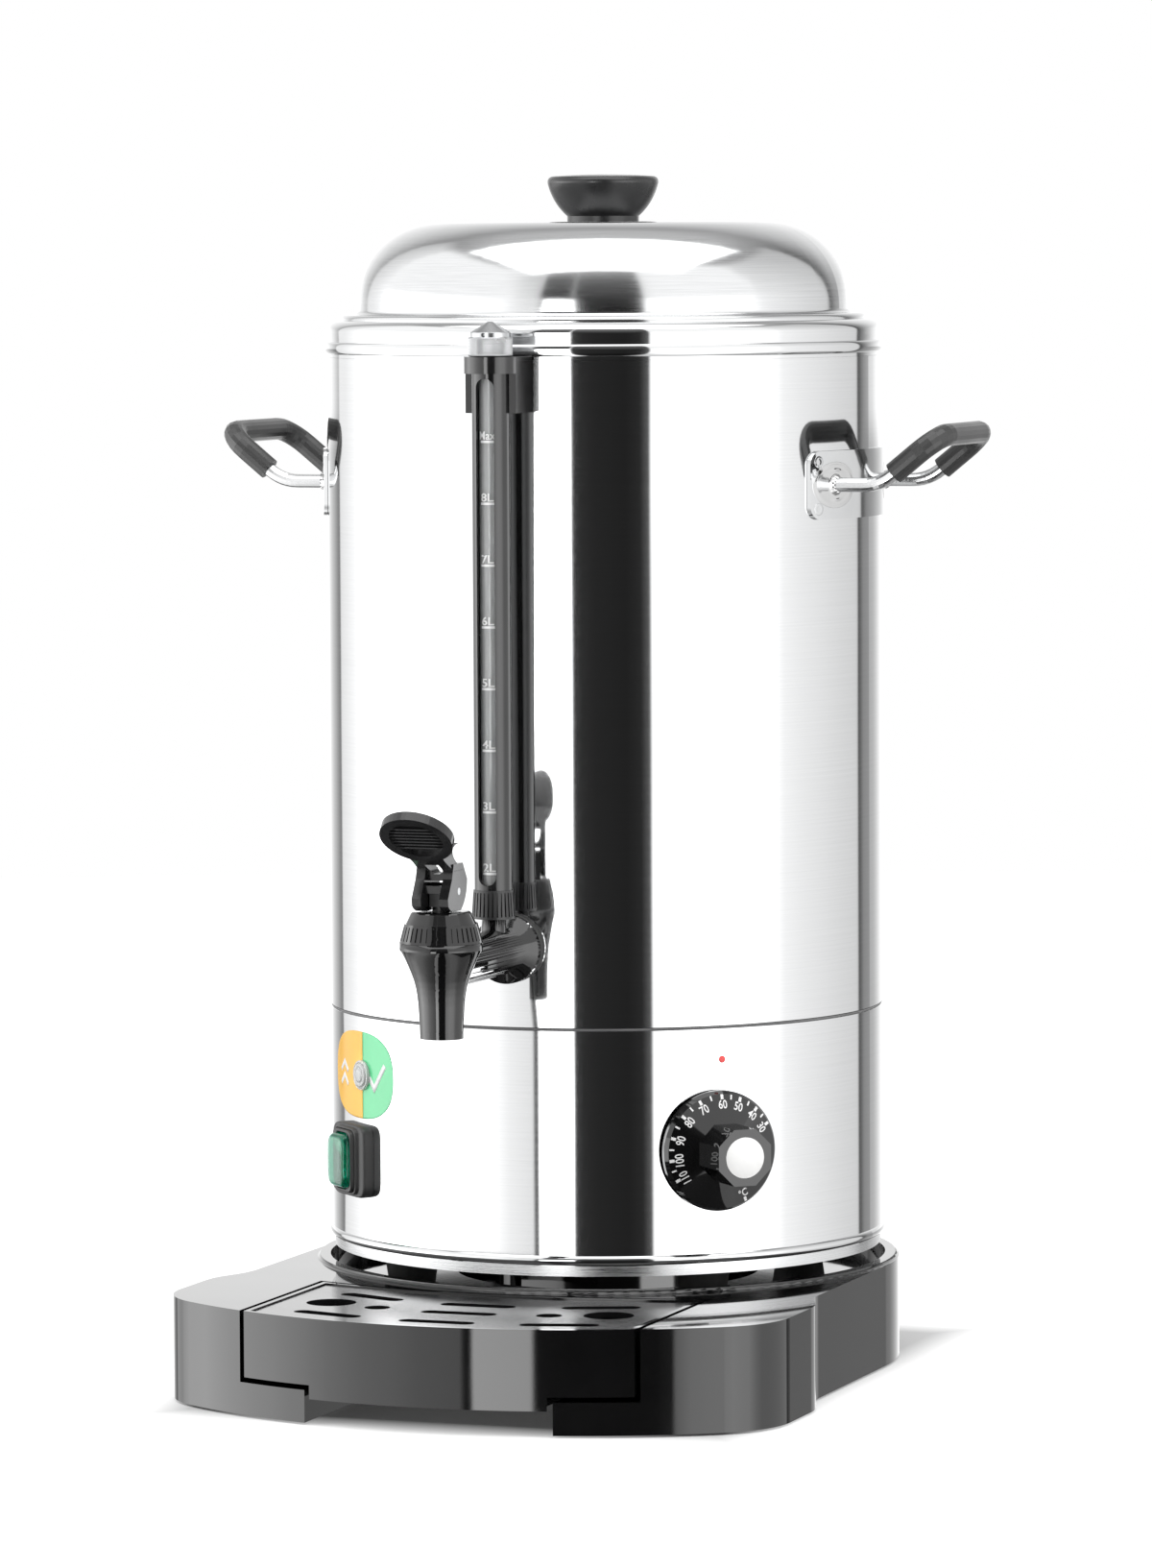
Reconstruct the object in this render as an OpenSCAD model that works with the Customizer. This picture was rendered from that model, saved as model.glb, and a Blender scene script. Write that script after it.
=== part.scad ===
// Electrically heated, double-walled drinks urn on a drip stand with a drawer tray.
// The kettle axis is vertical, the tap faces -Y, and z = 0 is the surface that the stand rests on.

/* [Kettle walls] */
// Outer radius of the steel walls
kettle_r = 120; // [112:1:135]
// Thickness of the outer steel sheet
sheet = 1; // [0.6:0.1:1.4]
// Air gap between the outer wall and the tank
jacket = 7.2; // [6:0.2:10]
// Thickness of the tank's steel
tank_wall = 0.8; // [0.6:0.1:1.2]
// Height of the kettle's feet
foot_h = 13; // [10:0.5:20]
// Largest diameter of a foot
foot_d = 24; // [18:1:30]
// Diameter of the screws that hold the feet
foot_screw_d = 4; // [3:0.5:5]
// Height of the bare band under the bottom bead
band_h = 4.5; // [3:0.5:8]
// Height of the bottom bead
bead_h = 4.5; // [3:0.5:6]
// How far the beads stand out of the wall
bead_out = 1.2; // [0.6:0.1:2]
// Height of the lower housing, from the bottom plate to the seam
housing_h = 104.5; // [98:0.5:130]
// Height of the open groove at the seam
seam_gap = 1.4; // [0.8:0.1:2.5]
// How far the housing's lip runs up inside the outer shell
lip_h = 9; // [6:0.5:12]
// Height of the outer shell, from the seam to the collar
shell_h = 280.5; // [262:0.5:320]
// Height of the collar that closes the double wall
collar_h = 11.5; // [9:0.5:16]
// Height of the bead at the foot of the collar
collar_bead_h = 4; // [3:0.5:6]
// Height of the tank floor above the seam
tank_rise = 15.5; // [14:0.5:25]
// Radius of the tank's bottom corner
tank_corner_r = 12; // [6:1:20]

/* [Lid] */
// How far the lid's rolled flange reaches over the tank's wall
lid_flange_out = 3; // [2:0.5:7]
// Height of the rolled flange
lid_flange_h = 6.5; // [4:0.5:9]
// How far the dome's side lies inside the tank's wall
lid_in = 4; // [2:0.5:11]
// Height of the lid above the tank's rim
lid_h = 46.2; // [38:0.2:70]
// Radius of the dome's shoulder
lid_shoulder_r = 36; // [20:1:38]
// Depth of the skirt inside the tank
lid_skirt_h = 8; // [4:0.5:14]
// Clearance of the skirt inside the tank
skirt_gap = 0.6; // [0.4:0.1:1]
// Radius of the flange's rolled edge
roll_r = 2; // [1:0.25:3]
// Thickness of the lid's steel
lid_sheet = 1; // [0.6:0.1:1.4]
// Diameter of each steam hole
steam_hole_d = 3; // [2:0.5:5]
// Distance of the steam holes from the axis
steam_hole_r = 52; // [40:1:60]
// Angle of the row of steam holes
steam_hole_angle = 20; // [0:5:90]
// Largest diameter of the knob
knob_d = 48; // [40:1:56]
// Height of the knob
knob_h = 20.3; // [16:0.1:30]
// Diameter of the knob's neck
knob_neck_d = 31; // [24:1:36]
// Radius of the knob's crowned top
knob_crown_r = 300; // [150:10:500]
// Radius of the knob's bowl
knob_bowl_r = 27; // [22:1:40]
// Radius of the knob's round edge
knob_edge_r = 2.4; // [1.5:0.1:3]
// Diameter of the knob's screw
knob_screw_d = 5; // [4:0.5:6]

/* [Stand] */
// Height of the stand's flat top
stand_h = 44.5; // [40:0.5:60]
// Thickness of the stand's moulded walls
stand_wall = 3; // [2:0.25:4]
// How far the stand's ring reaches outside the kettle wall
ring_margin = 7; // [6.5:0.5:12]
// Gap between the kettle wall and the seat's edge
seat_margin = 1; // [0.5:0.5:3]
// Depth of the seat below the flat top
seat_depth = 6.5; // [4:0.5:10]
// Height of the raised rim round the seat
rim_h = 1.5; // [1:0.25:3]
// Radius of the opening in the seat's middle
seat_hole_r = 66; // [40:1:72]
// How far the front lobes stand out sideways
lobe_out = 8.5; // [4:0.5:14]
// Radius of the lobes' corners and blends
lobe_corner_r = 40; // [34:1:44]
// Straight length on each lobe's side
lobe_flat = 28; // [16:1:32]
// How far the front reaches beyond the kettle wall
front_len = 108; // [100:1:125]
// Radius of the curved front
front_r = 208; // [190:1:260]
// Thickness of the ribs under the seat
rib_w = 2.5; // [1.5:0.25:4]
// Number of ribs under the seat
rib_count = 8; // [4:1:12]
// Height of the ribs' lower edge
rib_z = 8; // [5:0.5:20]
// Wall of the boss above each rubber pad
boss_wall = 1.5; // [1:0.25:3]
// Diameter of each rubber pad
rest_pad_d = 16; // [12:1:20]
// Thickness of each rubber pad
rest_pad_h = 2; // [1.5:0.25:4]
// How far the pads lift the stand's edge
stand_lift = 1; // [0.5:0.25:1.5]

/* [Drip tray] */
// Half of the width of the tray's bay
bay_half = 88; // [82:0.5:94]
// Distance from the ring to the bay's back
bay_back_gap = 4; // [3.5:0.5:6]
// Radius of the bay's curved back
bay_back_r = 290; // [240:5:400]
// Height of the ledges that the tray runs on
ledge_h = 14.6; // [12:0.2:18]
// Half of the width between the ledges
ledge_half = 54.4; // [46:0.2:62]
// Gap beside and behind the tray
tray_gap = 2.3; // [1:0.1:3]
// Gap between the tray's corner notch and the ledge
notch_gap = 2.2; // [1:0.1:3]
// Depth of the tray's middle below its notches
tray_drop = 5.8; // [3:0.2:7]
// Thickness of the tray's floor
tray_floor = 2.5; // [1.5:0.25:3.5]
// Width of the shelf that carries the grid
tray_shelf = 2; // [1.5:0.25:4]
// Thickness of the tray's edge above the shelf
tray_edge = 2.2; // [1.5:0.1:3]
// Width of each runner under the tray
runner_w = 4; // [2:0.5:8]
// Thickness of the grid
grid_h = 2.4; // [1.6:0.2:4]
// Depth of the grid's top below the tray's edge
grid_recess = 0.6; // [0.2:0.1:1.5]
// Length of a drain slot
slot_len = 33; // [24:1:38]
// Width of a drain slot
slot_w = 8; // [5:0.5:10]
// Diameter of the large drain holes
big_hole_d = 21; // [14:1:24]
// Diameter of the small drain holes
small_hole_d = 11; // [6:1:14]
// Distance of the first drain row from the front
drain_front = 18; // [14:1:22]
// Distance of the middle drain row from the front
drain_middle = 44; // [38:1:48]
// Distance of the last drain row from the front
drain_back = 66.5; // [60:0.5:72]
// Distance of the outer slots from the middle
drain_side = 51; // [46:1:56]

/* [Level gauge] */
// Distance of the gauge's axis from the wall
gauge_off = 20.3; // [18:0.1:28]
// Outer diameter of the slotted guard
guard_d = 16; // [14:0.5:18]
// Wall thickness of the guard
guard_wall = 2; // [1.5:0.1:2.2]
// Width of the guard's window
window_w = 8; // [5:0.5:9]
// Outer diameter of the clear tube
tube_d = 10; // [8:0.2:10.4]
// Wall thickness of the clear tube
tube_wall = 1.5; // [1:0.1:2]
// Diameter of the ribbed bottom nut at its foot
nut_d = 18.4; // [17.6:0.2:22]
// Height of the bottom nut
nut_h = 12; // [10:0.5:16]
// Number of grooves round the bottom nut
nut_grooves = 30; // [16:1:40]
// Diameter of the port under the bottom nut
port_d = 10.4; // [8:0.2:12]
// Bore of the port
port_bore = 5.2; // [3:0.2:6]
// Height of the port's bare neck
port_h = 4.5; // [3:0.5:8]
// Width of the top bracket
bracket_w = 22.4; // [20:0.2:28]
// Height of the top bracket
bracket_h = 23.5; // [18:0.5:32]
// Height of the closed ring at the bracket's top
bracket_ring_h = 7; // [5:0.5:10]
// How far the bracket's top stands above the outer shell
bracket_rise = 2; // [0:0.5:6]
// Diameter of the screws that hold the bracket
bracket_screw_d = 4; // [3:0.5:5]
// Diameter of the knurled cap
cap_d = 18.7; // [16.8:0.1:22]
// Height of the knurled band of the cap
cap_knurl_h = 8; // [5:0.5:12]
// Height of the plain band and cone of the cap
cap_cone_h = 6.4; // [4:0.2:10]
// Diameter of the cap's vent
vent_d = 1.6; // [1:0.1:2]

/* [Tap] */
// Height of the tap's barrel above the seam
tap_rise = 34; // [30:0.5:50]
// Distance of the spout's axis from the wall
spout_off = 82; // [74:0.5:90]
// Outer diameter of the barrel
barrel_d = 20; // [17:0.5:21]
// Bore of the barrel
barrel_bore = 10; // [7:0.5:11]
// Diameter of the flange at the wall
flange_d = 29; // [26:0.5:34]
// Thickness of the flange
flange_h = 5; // [3:0.5:8]
// Thickness of each rubber washer
washer_h = 3; // [2:0.5:5]
// Diameter of the threaded shank through the walls
shank_d = 16; // [14:0.5:18]
// Height of the nut inside the tank
inner_nut_h = 7; // [5:0.5:10]
// Height of the spout's rim above the barrel's axis
rim_rise = 10; // [9:0.2:14]
// Outer diameter of the spout's rim
rim_d = 34.3; // [32:0.1:40]
// Distance of the spout's waist below the barrel's axis
waist_drop = 10.5; // [8:0.5:14]
// Outer diameter of the spout's waist
waist_d = 20.2; // [19:0.1:24]
// Distance of the spout's mouth below the barrel's axis
mouth_drop = 29.5; // [24:0.5:40]
// Outer diameter of the spout's mouth
mouth_d = 17.9; // [16:0.1:20]
// Bore of the spout
spout_bore = 11; // [8:0.5:12]
// Thickness of the spout's wall at the chamber
chamber_wall = 3; // [2:0.25:4]
// Height of the grooved ring of the bonnet
bonnet_ring_h = 7.9; // [6:0.1:12]
// How much narrower the grooved ring is at its top
bonnet_taper = 4.1; // [2:0.1:6]
// Height of the bonnet's dome above the ring
bonnet_dome_h = 5.1; // [3.5:0.1:8]
// Diameter of the bonnet's top
bonnet_top_d = 25.6; // [20:0.1:28]
// Number of grooves round the bonnet
bonnet_grooves = 40; // [24:1:48]
// Diameter of the stem
stem_d = 7; // [6:0.25:8]
// Height of the lever's pin above the bonnet
pin_rise = 8.2; // [7.5:0.1:10]
// Diameter of the lever's pin
pin_d = 3; // [2.5:0.1:4]
// Width of the lever's fork
fork_w = 16; // [15.5:0.5:22]
// Thickness of each cheek of the fork
cheek_w = 4; // [3:0.25:4]
// How far the lever tilts, in degrees
lever_tilt = 40; // [20:1:45]
// How far the stem rises for each radian of tilt
lift_rate = 6; // [4:0.25:7]
// Width of the finger pad
finger_w = 30.5; // [26:0.5:36]
// Length of the finger pad
finger_len = 31; // [28:0.5:40]
// Thickness of the finger pad
finger_t = 7; // [5:0.5:9]
// Forward lean of the finger pad from upright, in degrees
finger_lean = 52; // [35:1:60]
// Distance of the finger pad's middle in front of the pin
finger_reach = 26; // [20:0.5:30]
// Height of the finger pad's middle above the pin
finger_rise = 25.5; // [22:0.5:28]
// Number of ribs on the finger pad
finger_ribs = 7; // [3:1:8]
// Diameter of the return spring
spring_d = 15; // [13:0.5:16]
// Diameter of the spring's wire
spring_wire = 1.2; // [0.8:0.1:1.6]
// Number of turns of the spring
spring_turns = 5; // [3:1:6]

/* [Controls] */
// Angle of the thermostat dial from the front, in degrees
dial_angle = 42.2; // [30:0.1:60]
// Height of the dial above the bottom plate
dial_rise = 52.5; // [45:0.5:65]
// Diameter of the dial's rim
dial_d = 51; // [42:0.5:56]
// Height of the dial's rim
dial_h = 4; // [3:0.25:6]
// Width of the bevel round the dial's face
dial_bevel = 1.2; // [0.5:0.1:2]
// Rise of the conical face from the rim to the hub
face_rise = 4; // [1:0.25:6]
// Width of the octagonal hub across its flats
hub_w = 23.8; // [20:0.2:28]
// Height of the hub in front of the face
hub_h = 20.5; // [14:0.5:26]
// Diameter of the dial's cap
dial_cap_d = 17.2; // [12:0.2:18]
// Diameter of the thermostat's spindle
spindle_d = 6; // [5:0.25:7]
// Width and height of the thermostat's case
thermostat_w = 38; // [30:1:42]
// Depth of the thermostat's case
thermostat_len = 30; // [22:1:40]
// Angle of the switch from the front, in degrees
switch_angle = -44.4; // [-60:0.1:-30]
// Height of the switch above the bottom plate
switch_rise = 42; // [36:0.5:48]
// Width of the switch's boot
boot_w = 27; // [25:0.5:34]
// Height of the switch's boot
boot_h = 32.5; // [30:0.5:38]
// How far the boot's base stands out of the wall
boot_len = 4; // [3:0.5:8]
// Height of the ridge in front of the boot's base
ridge_len = 1.5; // [1:0.25:2.5]
// Height of the bezel in front of the boot's base
bezel_len = 3; // [2.75:0.25:6]
// Width of the rocker
rocker_w = 11; // [10:0.5:15]
// Height over the rocker's round ends
rocker_h = 23.6; // [18:0.2:25]
// How far the rocker's pivot lies behind the bezel's face
pivot_depth = 2.5; // [2:0.25:4]
// How far the rocker's middle stands in front of the bezel, less than 0 behind it
rocker_out = -1.5; // [-2:0.25:2]
// Tilt of the rocker to either side, in degrees
rocker_tilt = 9; // [5:0.5:12]
// Depth of the switch's body inside the wall
switch_len = 22; // [16:1:30]
// Angle of the lamp from the front, in degrees
lamp_angle = -41; // [-60:0.5:-30]
// Height of the lamp above the bottom plate
lamp_rise = 79; // [74:0.1:88]
// Diameter of the lamp's lens
lens_d = 13; // [11:0.5:16]
// How far the lens stands out of the wall
lens_h = 6; // [4:0.5:9]
// Diameter of the lamp's body
lamp_d = 9; // [7:0.25:10]
// Depth of the lamp's body inside the wall
lamp_len = 24; // [16:1:32]
// Bore of the lead inlet's bush
inlet_bore = 7.2; // [6:0.1:9]
// Height of the lead inlet above the bottom plate
inlet_rise = 24; // [18:0.5:40]
// Diameter of the inlet's flange
inlet_flange_d = 19; // [17:0.5:24]
// How far the inlet's flange stands out of the wall
inlet_out = 4; // [2.5:0.5:6]

/* [Handles] */
// Height of the handles' legs below the collar
handle_drop = 54; // [45:1:80]
// Distance between the legs of a handle
leg_gap = 70; // [60:1:84]
// Diameter of the steel rod
rod_d = 6; // [5:0.25:7]
// Outer diameter of the sleeve grip
grip_d = 9.7; // [8.5:0.1:12]
// Bare rod between the elbow and the grip
grip_start = 1; // [1:0.5:6]
// Distance of the crossbar from the kettle wall
handle_out = 42; // [38:0.5:55]
// Height of the crossbar above the legs
handle_up = 21; // [19:0.5:30]
// Slope of the handle's arms, in degrees
slope = 39; // [36:1:55]
// Bend radius between leg and slope
elbow_r = 20; // [8:0.5:24]
// Bend radius between slope and crossbar
corner_r = 12; // [8:0.5:14]
// Length of the weld plate along the wall
plate_w = 105; // [96:1:120]
// Height of the weld plate
plate_h = 29; // [22:0.5:40]
// Thickness of the weld plate
plate_t = 1.5; // [1:0.1:2.5]
// Corner radius of the weld plate
plate_corner_r = 6; // [3:0.5:10]

/* [Heating] */
// Radius of the heat spreader under the tank
spreader_r = 85; // [70:1:92]
// Thickness of the heat spreader
spreader_h = 3; // [2:0.25:5]
// Radius of the heating element's ring
element_r = 60; // [48:1:66]
// Diameter of the heating element's rod
element_d = 8; // [6:0.25:9]
// Angle left open between the element's ends, in degrees
element_open = 40; // [25:1:60]
// Length of the element's terminals
terminal_len = 22; // [16:1:30]
// Diameter of the thermostat's bulb
bulb_d = 5; // [4:0.5:7]
// Length of the thermostat's bulb
bulb_len = 44; // [30:1:60]
// Diameter of the thermal cut-out
cutout_d = 16; // [12:1:18]
// Height of the thermal cut-out
cutout_h = 10; // [7:0.5:14]
// Width of the terminal block
block_w = 42; // [36:1:60]
// Depth of the terminal block
block_len = 18; // [14:1:24]
// Height of the terminal block
block_h = 16; // [12:1:22]
// Diameter of the centre stud
stud_d = 6; // [5:0.5:8]

/* [Fits] */
// Clearance between pieces that only touch
fit_gap = 0.1; // [0.05:0.01:0.15]
// Clearance of a pin or spindle in its bore
running_gap = 0.05; // [0.03:0.01:0.08]
// Clearance round a moving piece
free_gap = 0.3; // [0.2:0.05:0.4]
// Clearance of a piece in a hole through a wall
hole_gap = 0.3; // [0.2:0.05:0.4]

/* [Hidden] */
$fn = 240;

steel = [0.80, 0.81, 0.83];
bright_steel = [0.72, 0.74, 0.76];
black_gloss = [0.05, 0.05, 0.055];
black_soft = [0.10, 0.10, 0.10];
copper = [0.72, 0.45, 0.28];
far = 600;
foot_taper = 2;
foot_screw_grip = 8;
screw_head_h = 2.5;
groove_w = 0.7;
blade_h = 0.8;
blade_w = 6;
blade_len = 8;

// Levels of the stand and the kettle
seat_z = stand_h - seat_depth;
base_z = seat_z + foot_h;
bead_z = base_z + band_h;
seam_z = base_z + housing_h;
shell_z0 = seam_z + seam_gap / 2;
collar_z = seam_z + shell_h;
mouth_z = collar_z + collar_h;
floor_z = seam_z + tank_rise;

// Radii of the walls
wall_in = kettle_r - sheet;
tank_out = wall_in - jacket;
tank_in = tank_out - tank_wall;
lip_r = wall_in - fit_gap;
pan_r = wall_in - fit_gap;

// Plan of the stand
ring_r = kettle_r + ring_margin;
seat_r = kettle_r + seat_margin;
front_y = -(kettle_r + front_len);
front_cy = front_y + front_r;
lobe_half = ring_r + lobe_out;
corner_x = lobe_half - lobe_corner_r;
corner_y = front_cy - sqrt(pow(front_r - lobe_corner_r, 2) - pow(corner_x, 2));
lobe_back_y = corner_y + lobe_flat;
blend_len = sqrt(4 * lobe_corner_r * lobe_out - pow(lobe_out, 2));
blend_y = lobe_back_y + blend_len;
blend_cos = sqrt(1 - pow(blend_len / (2 * lobe_corner_r), 2));
bay_back_cy = bay_back_r - ring_r - bay_back_gap;
rest_pad_x = (bay_half + lobe_half) / 2;
rest_pad_back = cos(45) * (seat_r - rest_pad_d / 2);

// Tray and grid
tray_half = bay_half - tray_gap;
tray_mid = ledge_half - tray_gap;
notch_z = ledge_h + notch_gap;
tray_low = notch_z - tray_drop;
grid_z = stand_h - grid_recess - grid_h;
tray_wall = tray_edge + tray_shelf;
runner_x = (ledge_half + bay_half) / 2;
runner_front = 45;
runner_back = 12;
runner_y0 = front_y + runner_front;
runner_y1 = -(ring_r + bay_back_gap + runner_back);
big_hole_x = drain_side + big_hole_d / 2;
small_hole_x = drain_side - small_hole_d - 2;

// Level gauge
gauge_r = kettle_r + gauge_off;
tap_z = seam_z + tap_rise;
nut_z = tap_z + barrel_d / 2 + port_h;
guard_z0 = nut_z + nut_h;
guard_z1 = collar_z + bracket_rise;
nut_top_h = 1;
nut_wall = 2.1;
nut_taper = 1.6;
seal_h = 2;
upper_seal_h = 3;
spigot_r = nut_d / 2 - nut_wall - fit_gap;
socket_floor = 2.5;
socket_z = nut_z + socket_floor;
spigot_z1 = guard_z0 - nut_top_h - seal_h;
plug_len = 2;
tube_z1 = guard_z1 - plug_len;
window_end = 2;
window_z0 = guard_z0 + window_end;
window_z1 = guard_z1 - bracket_ring_h - window_end;
bracket_root = 3;
bracket_screw_len = 8;
cap_edge = 0.4;
cap_step = 0.9;
cap_band_h = 1.9;
cap_tip_r = 1.2;

// Tap
spout_r = kettle_r + spout_off;
flange_u = kettle_r + washer_h;
rim_z = tap_z + rim_rise;
waist_z = tap_z - waist_drop;
mouth_low_z = tap_z - mouth_drop;
seat_step = 0.5;
seat_room = 1.1;
seat_top_z = tap_z - barrel_bore / 2 - seat_step;
collar_r = rim_d / 2 - chamber_wall;
chamber_r = collar_r - chamber_wall + 1;
rim_lip_h = 3;
flange_step = 1.5;
chamber_swell = 0.4;
collar_top_z = rim_z + bonnet_ring_h - 2.5;
bonnet_ring_z = rim_z + bonnet_ring_h;
bonnet_z = bonnet_ring_z + bonnet_dome_h;
bonnet_roof = 2.8;
bonnet_edge_r = 2;
bonnet_step = 0.6;
pin_z = bonnet_z + pin_rise;
heel_depth = pin_rise - free_gap;
eye_r = pin_d / 2 + 2;
pin_press = 0.02;
head_z = bonnet_z + free_gap + 1.5;
cup_h = 4.2;
cup_lip_h = 0.8;
stem_foot_z = seat_top_z + cup_h;
stem_tip_r = 2;
stem_tip_h = 2.5;
stem_flange_h = 1.6;
spring_z0 = stem_foot_z + stem_flange_h;
spring_z1 = bonnet_z - bonnet_roof;
cup_r = spout_bore / 2 + 2;
fork_gap = fork_w - 2 * cheek_w;
neck_bar_h = 5;
bar_low = eye_r + 1;
bar_half = 4.5;
cheek_half = 8;
cheek_top = bar_low + neck_bar_h + 2;
cheek_toe = [0.5, 3];
cheek_flare = 1.5;
finger_recess = 2;
finger_rib_h = 1.2;
finger_dome_r = 42;
rib_margin = 7.75;
rib_pitch = (finger_len - 2 * rib_margin) / finger_ribs;
neck_w = 14.5;
waist_r = 9;
waist_rise = 3;
neck_window_w = 6;
neck_window_h = 8;
neck_window_rise = 1.5;
neck_window_reach = 10.5;
front_bar_t = 2;
front_bar_h = 3.1;
front_bar_low = -0.5;
cheek_round_r = 14;
finger_rim = 4;
shank_len = kettle_r - tank_in + 22;
finger_tip_y = spout_r + finger_reach + sin(finger_lean) * finger_len / 2 + cos(finger_lean) * finger_t / 2;

// Controls
dial_z = base_z + dial_rise;
dial_u = kettle_r + 1;
hub_front = dial_h + face_rise + hub_h;
hub_u = dial_u + hub_front;
hub_sides = 8;
nut_room = 1.5;
cap_seat = 2;
cap_crown = 1.4;
cap_crown_r = 30;
spindle_in = 12;
spindle_tip = hub_u - cap_seat - 2;
case_corner = 3;
bush_d = spindle_d + 4;
fix_nut_h = 2.6;
fix_nut_d = bush_d + 6;
switch_z = base_z + switch_rise;
boot_u = kettle_r + boot_len;
bezel_u = boot_u + bezel_len;
boot_corner = 3;
pivot_u = bezel_u - pivot_depth;
bezel_w = rocker_w + 8;
bezel_h = rocker_h + 3.4;
body_w = rocker_w + 6;
body_h = rocker_h + 3;
body_u = pivot_u - 4;
rocker_back = 3;
blade_pitch = 7;
lamp_z = base_z + lamp_rise;
lens_rim_h = 2.7;
lens_step_h = 3.9;
lens_step = 1.6;
lens_hollow = 1.8;
inlet_z = base_z + inlet_rise;
inlet_barrel_d = inlet_bore + 6;
inlet_len = 14;

// Handles
handle_z = collar_z - handle_drop;
bar_u = kettle_r + handle_out;
slope_run = handle_up / sin(slope);
leg_u1 = bar_u - handle_up / tan(slope);
elbow_cut = elbow_r * tan(slope / 2);
plate_out_r = kettle_r + fit_gap + plate_t;
leg_u0 = sqrt(pow(plate_out_r, 2) - pow((leg_gap - rod_d) / 2, 2)) + fit_gap;
bend_steps = 6;
bar_sides = 16;

// Knob of the lid
lid_flange_r = tank_in + lid_flange_out;
lid_r = tank_in - lid_in;
knob_neck_h = 2.4;
knob_foot = [knob_neck_d / 2, knob_neck_h];
edge_x = knob_d / 2 - knob_edge_r;
edge_mid = [edge_x, knob_h - knob_crown_r + sqrt(pow(knob_crown_r - knob_edge_r, 2) - edge_x * edge_x)];
bowl_span = norm(edge_mid - knob_foot);
bowl_dir = (edge_mid - knob_foot) / bowl_span;
bowl_rest = (knob_edge_r * (2 * knob_bowl_r - knob_edge_r) + bowl_span * bowl_span) / (2 * bowl_span);
bowl_mid = knob_foot + bowl_dir * bowl_rest
    + [-bowl_dir[1], bowl_dir[0]] * sqrt(knob_bowl_r * knob_bowl_r - bowl_rest * bowl_rest);
bowl_top = edge_mid + (edge_mid - bowl_mid) * knob_edge_r / (knob_bowl_r - knob_edge_r);
knob_screw_len = 12;

// Heating
spreader_z = floor_z - tank_wall - spreader_h;
element_z = spreader_z - fit_gap - element_d / 2;
bulb_x = -element_r / 2;
clip_w = 8;
cutout_x = element_r / 2;
cutout_y = 12;
ear_h = 1.5;
ear_w = 10;
ear_len = cutout_d + 14;
block_back = 48;
block_bore = 4.5;
stud_out = 6;
stud_nut_h = 5;
stud_nut_d = 2.1 * stud_d;

// Distance that the kettle axis lies behind the middle of the whole footprint
axis_y = (max(-front_y, finger_tip_y) - ring_r) / 2;

// Points of an arc about a centre, from angle a0 to a1 in n steps.
function arc(cx, cy, r, a0, a1, n) =
    [for (i = [0:n]) let (a = a0 + (a1 - a0) * i / n) [cx + r * cos(a), cy + r * sin(a)]];

// Places a piece on the wall: its x runs round the wall, its y is up and its z points outwards.
module facing(angle, radius, height)
    rotate([0, 0, angle]) translate([0, -radius, height]) rotate([90, 0, 0]) children();

// Moves the kettle axis so that the origin lies under the middle of the whole footprint.
module on_footprint() translate([0, axis_y, 0]) children();

module disc(r, z0, z1) translate([0, 0, z0]) cylinder(r = r, h = z1 - z0);

module tube(r_out, r_in, z0, z1) difference() {
    disc(r_out, z0, z1);
    disc(r_in, z0 - 1, z1 + 1);
}

module rounded(w, h, r) {
    square([w - 2 * r, h], center = true);
    square([w, h - 2 * r], center = true);
    for (x = [-1, 1], y = [-1, 1]) translate([x * (w / 2 - r), y * (h / 2 - r)]) circle(r = r);
}

module stadium(len, w) {
    square([len - w, w], center = true);
    for (s = [-1, 1]) translate([s * (len - w) / 2, 0]) circle(d = w);
}

// Outline of the stand seen from above, drawn in by an inset.
module stand_plan(inset = 0) {
    ray = front_r + lobe_corner_r;
    toe = [corner_x, corner_y - front_cy] * ray / (front_r - lobe_corner_r) + [0, front_cy];
    circle(r = ring_r - inset);
    difference() {
        union() {
            intersection() {
                translate([0, front_cy]) circle(r = front_r - inset);
                polygon([
                    [corner_x, corner_y], toe, [0, front_y - front_len], [-toe[0], toe[1]], [-corner_x, corner_y]
                ]);
            }
            for (s = [-1, 1], y = [corner_y, lobe_back_y])
                translate([s * corner_x, y]) circle(r = lobe_corner_r - inset);
            strip(lobe_half - inset, corner_y, lobe_back_y);
            strip(corner_x + (lobe_corner_r - inset) * blend_cos, lobe_back_y, blend_y);
            strip(ring_r - inset, blend_y, 0);
        }
        for (s = [-1, 1])
            translate([s * (ring_r + lobe_corner_r), blend_y]) circle(r = lobe_corner_r + inset);
    }
}

module strip(half, y0, y1) translate([-half, y0]) square([2 * half, y1 - y0]);

// Plan of the bay between the lobes, open at the front and curved at the back.
module bay_plan(half, grow) difference() {
    strip(half + grow, -far, 0);
    translate([0, bay_back_cy]) circle(r = bay_back_r - grow);
}

module bay(grow = 0) {
    translate([0, 0, ledge_h - grow]) linear_extrude(far) bay_plan(bay_half, grow);
    translate([0, 0, -far / 2]) linear_extrude(far) bay_plan(ledge_half, grow);
}

module rest_pad_places() {
    for (s = [-1, 1]) {
        translate([s * rest_pad_x, (corner_y + lobe_back_y) / 2, 0]) children();
        translate([s * rest_pad_back, rest_pad_back, 0]) children();
    }
}

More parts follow.
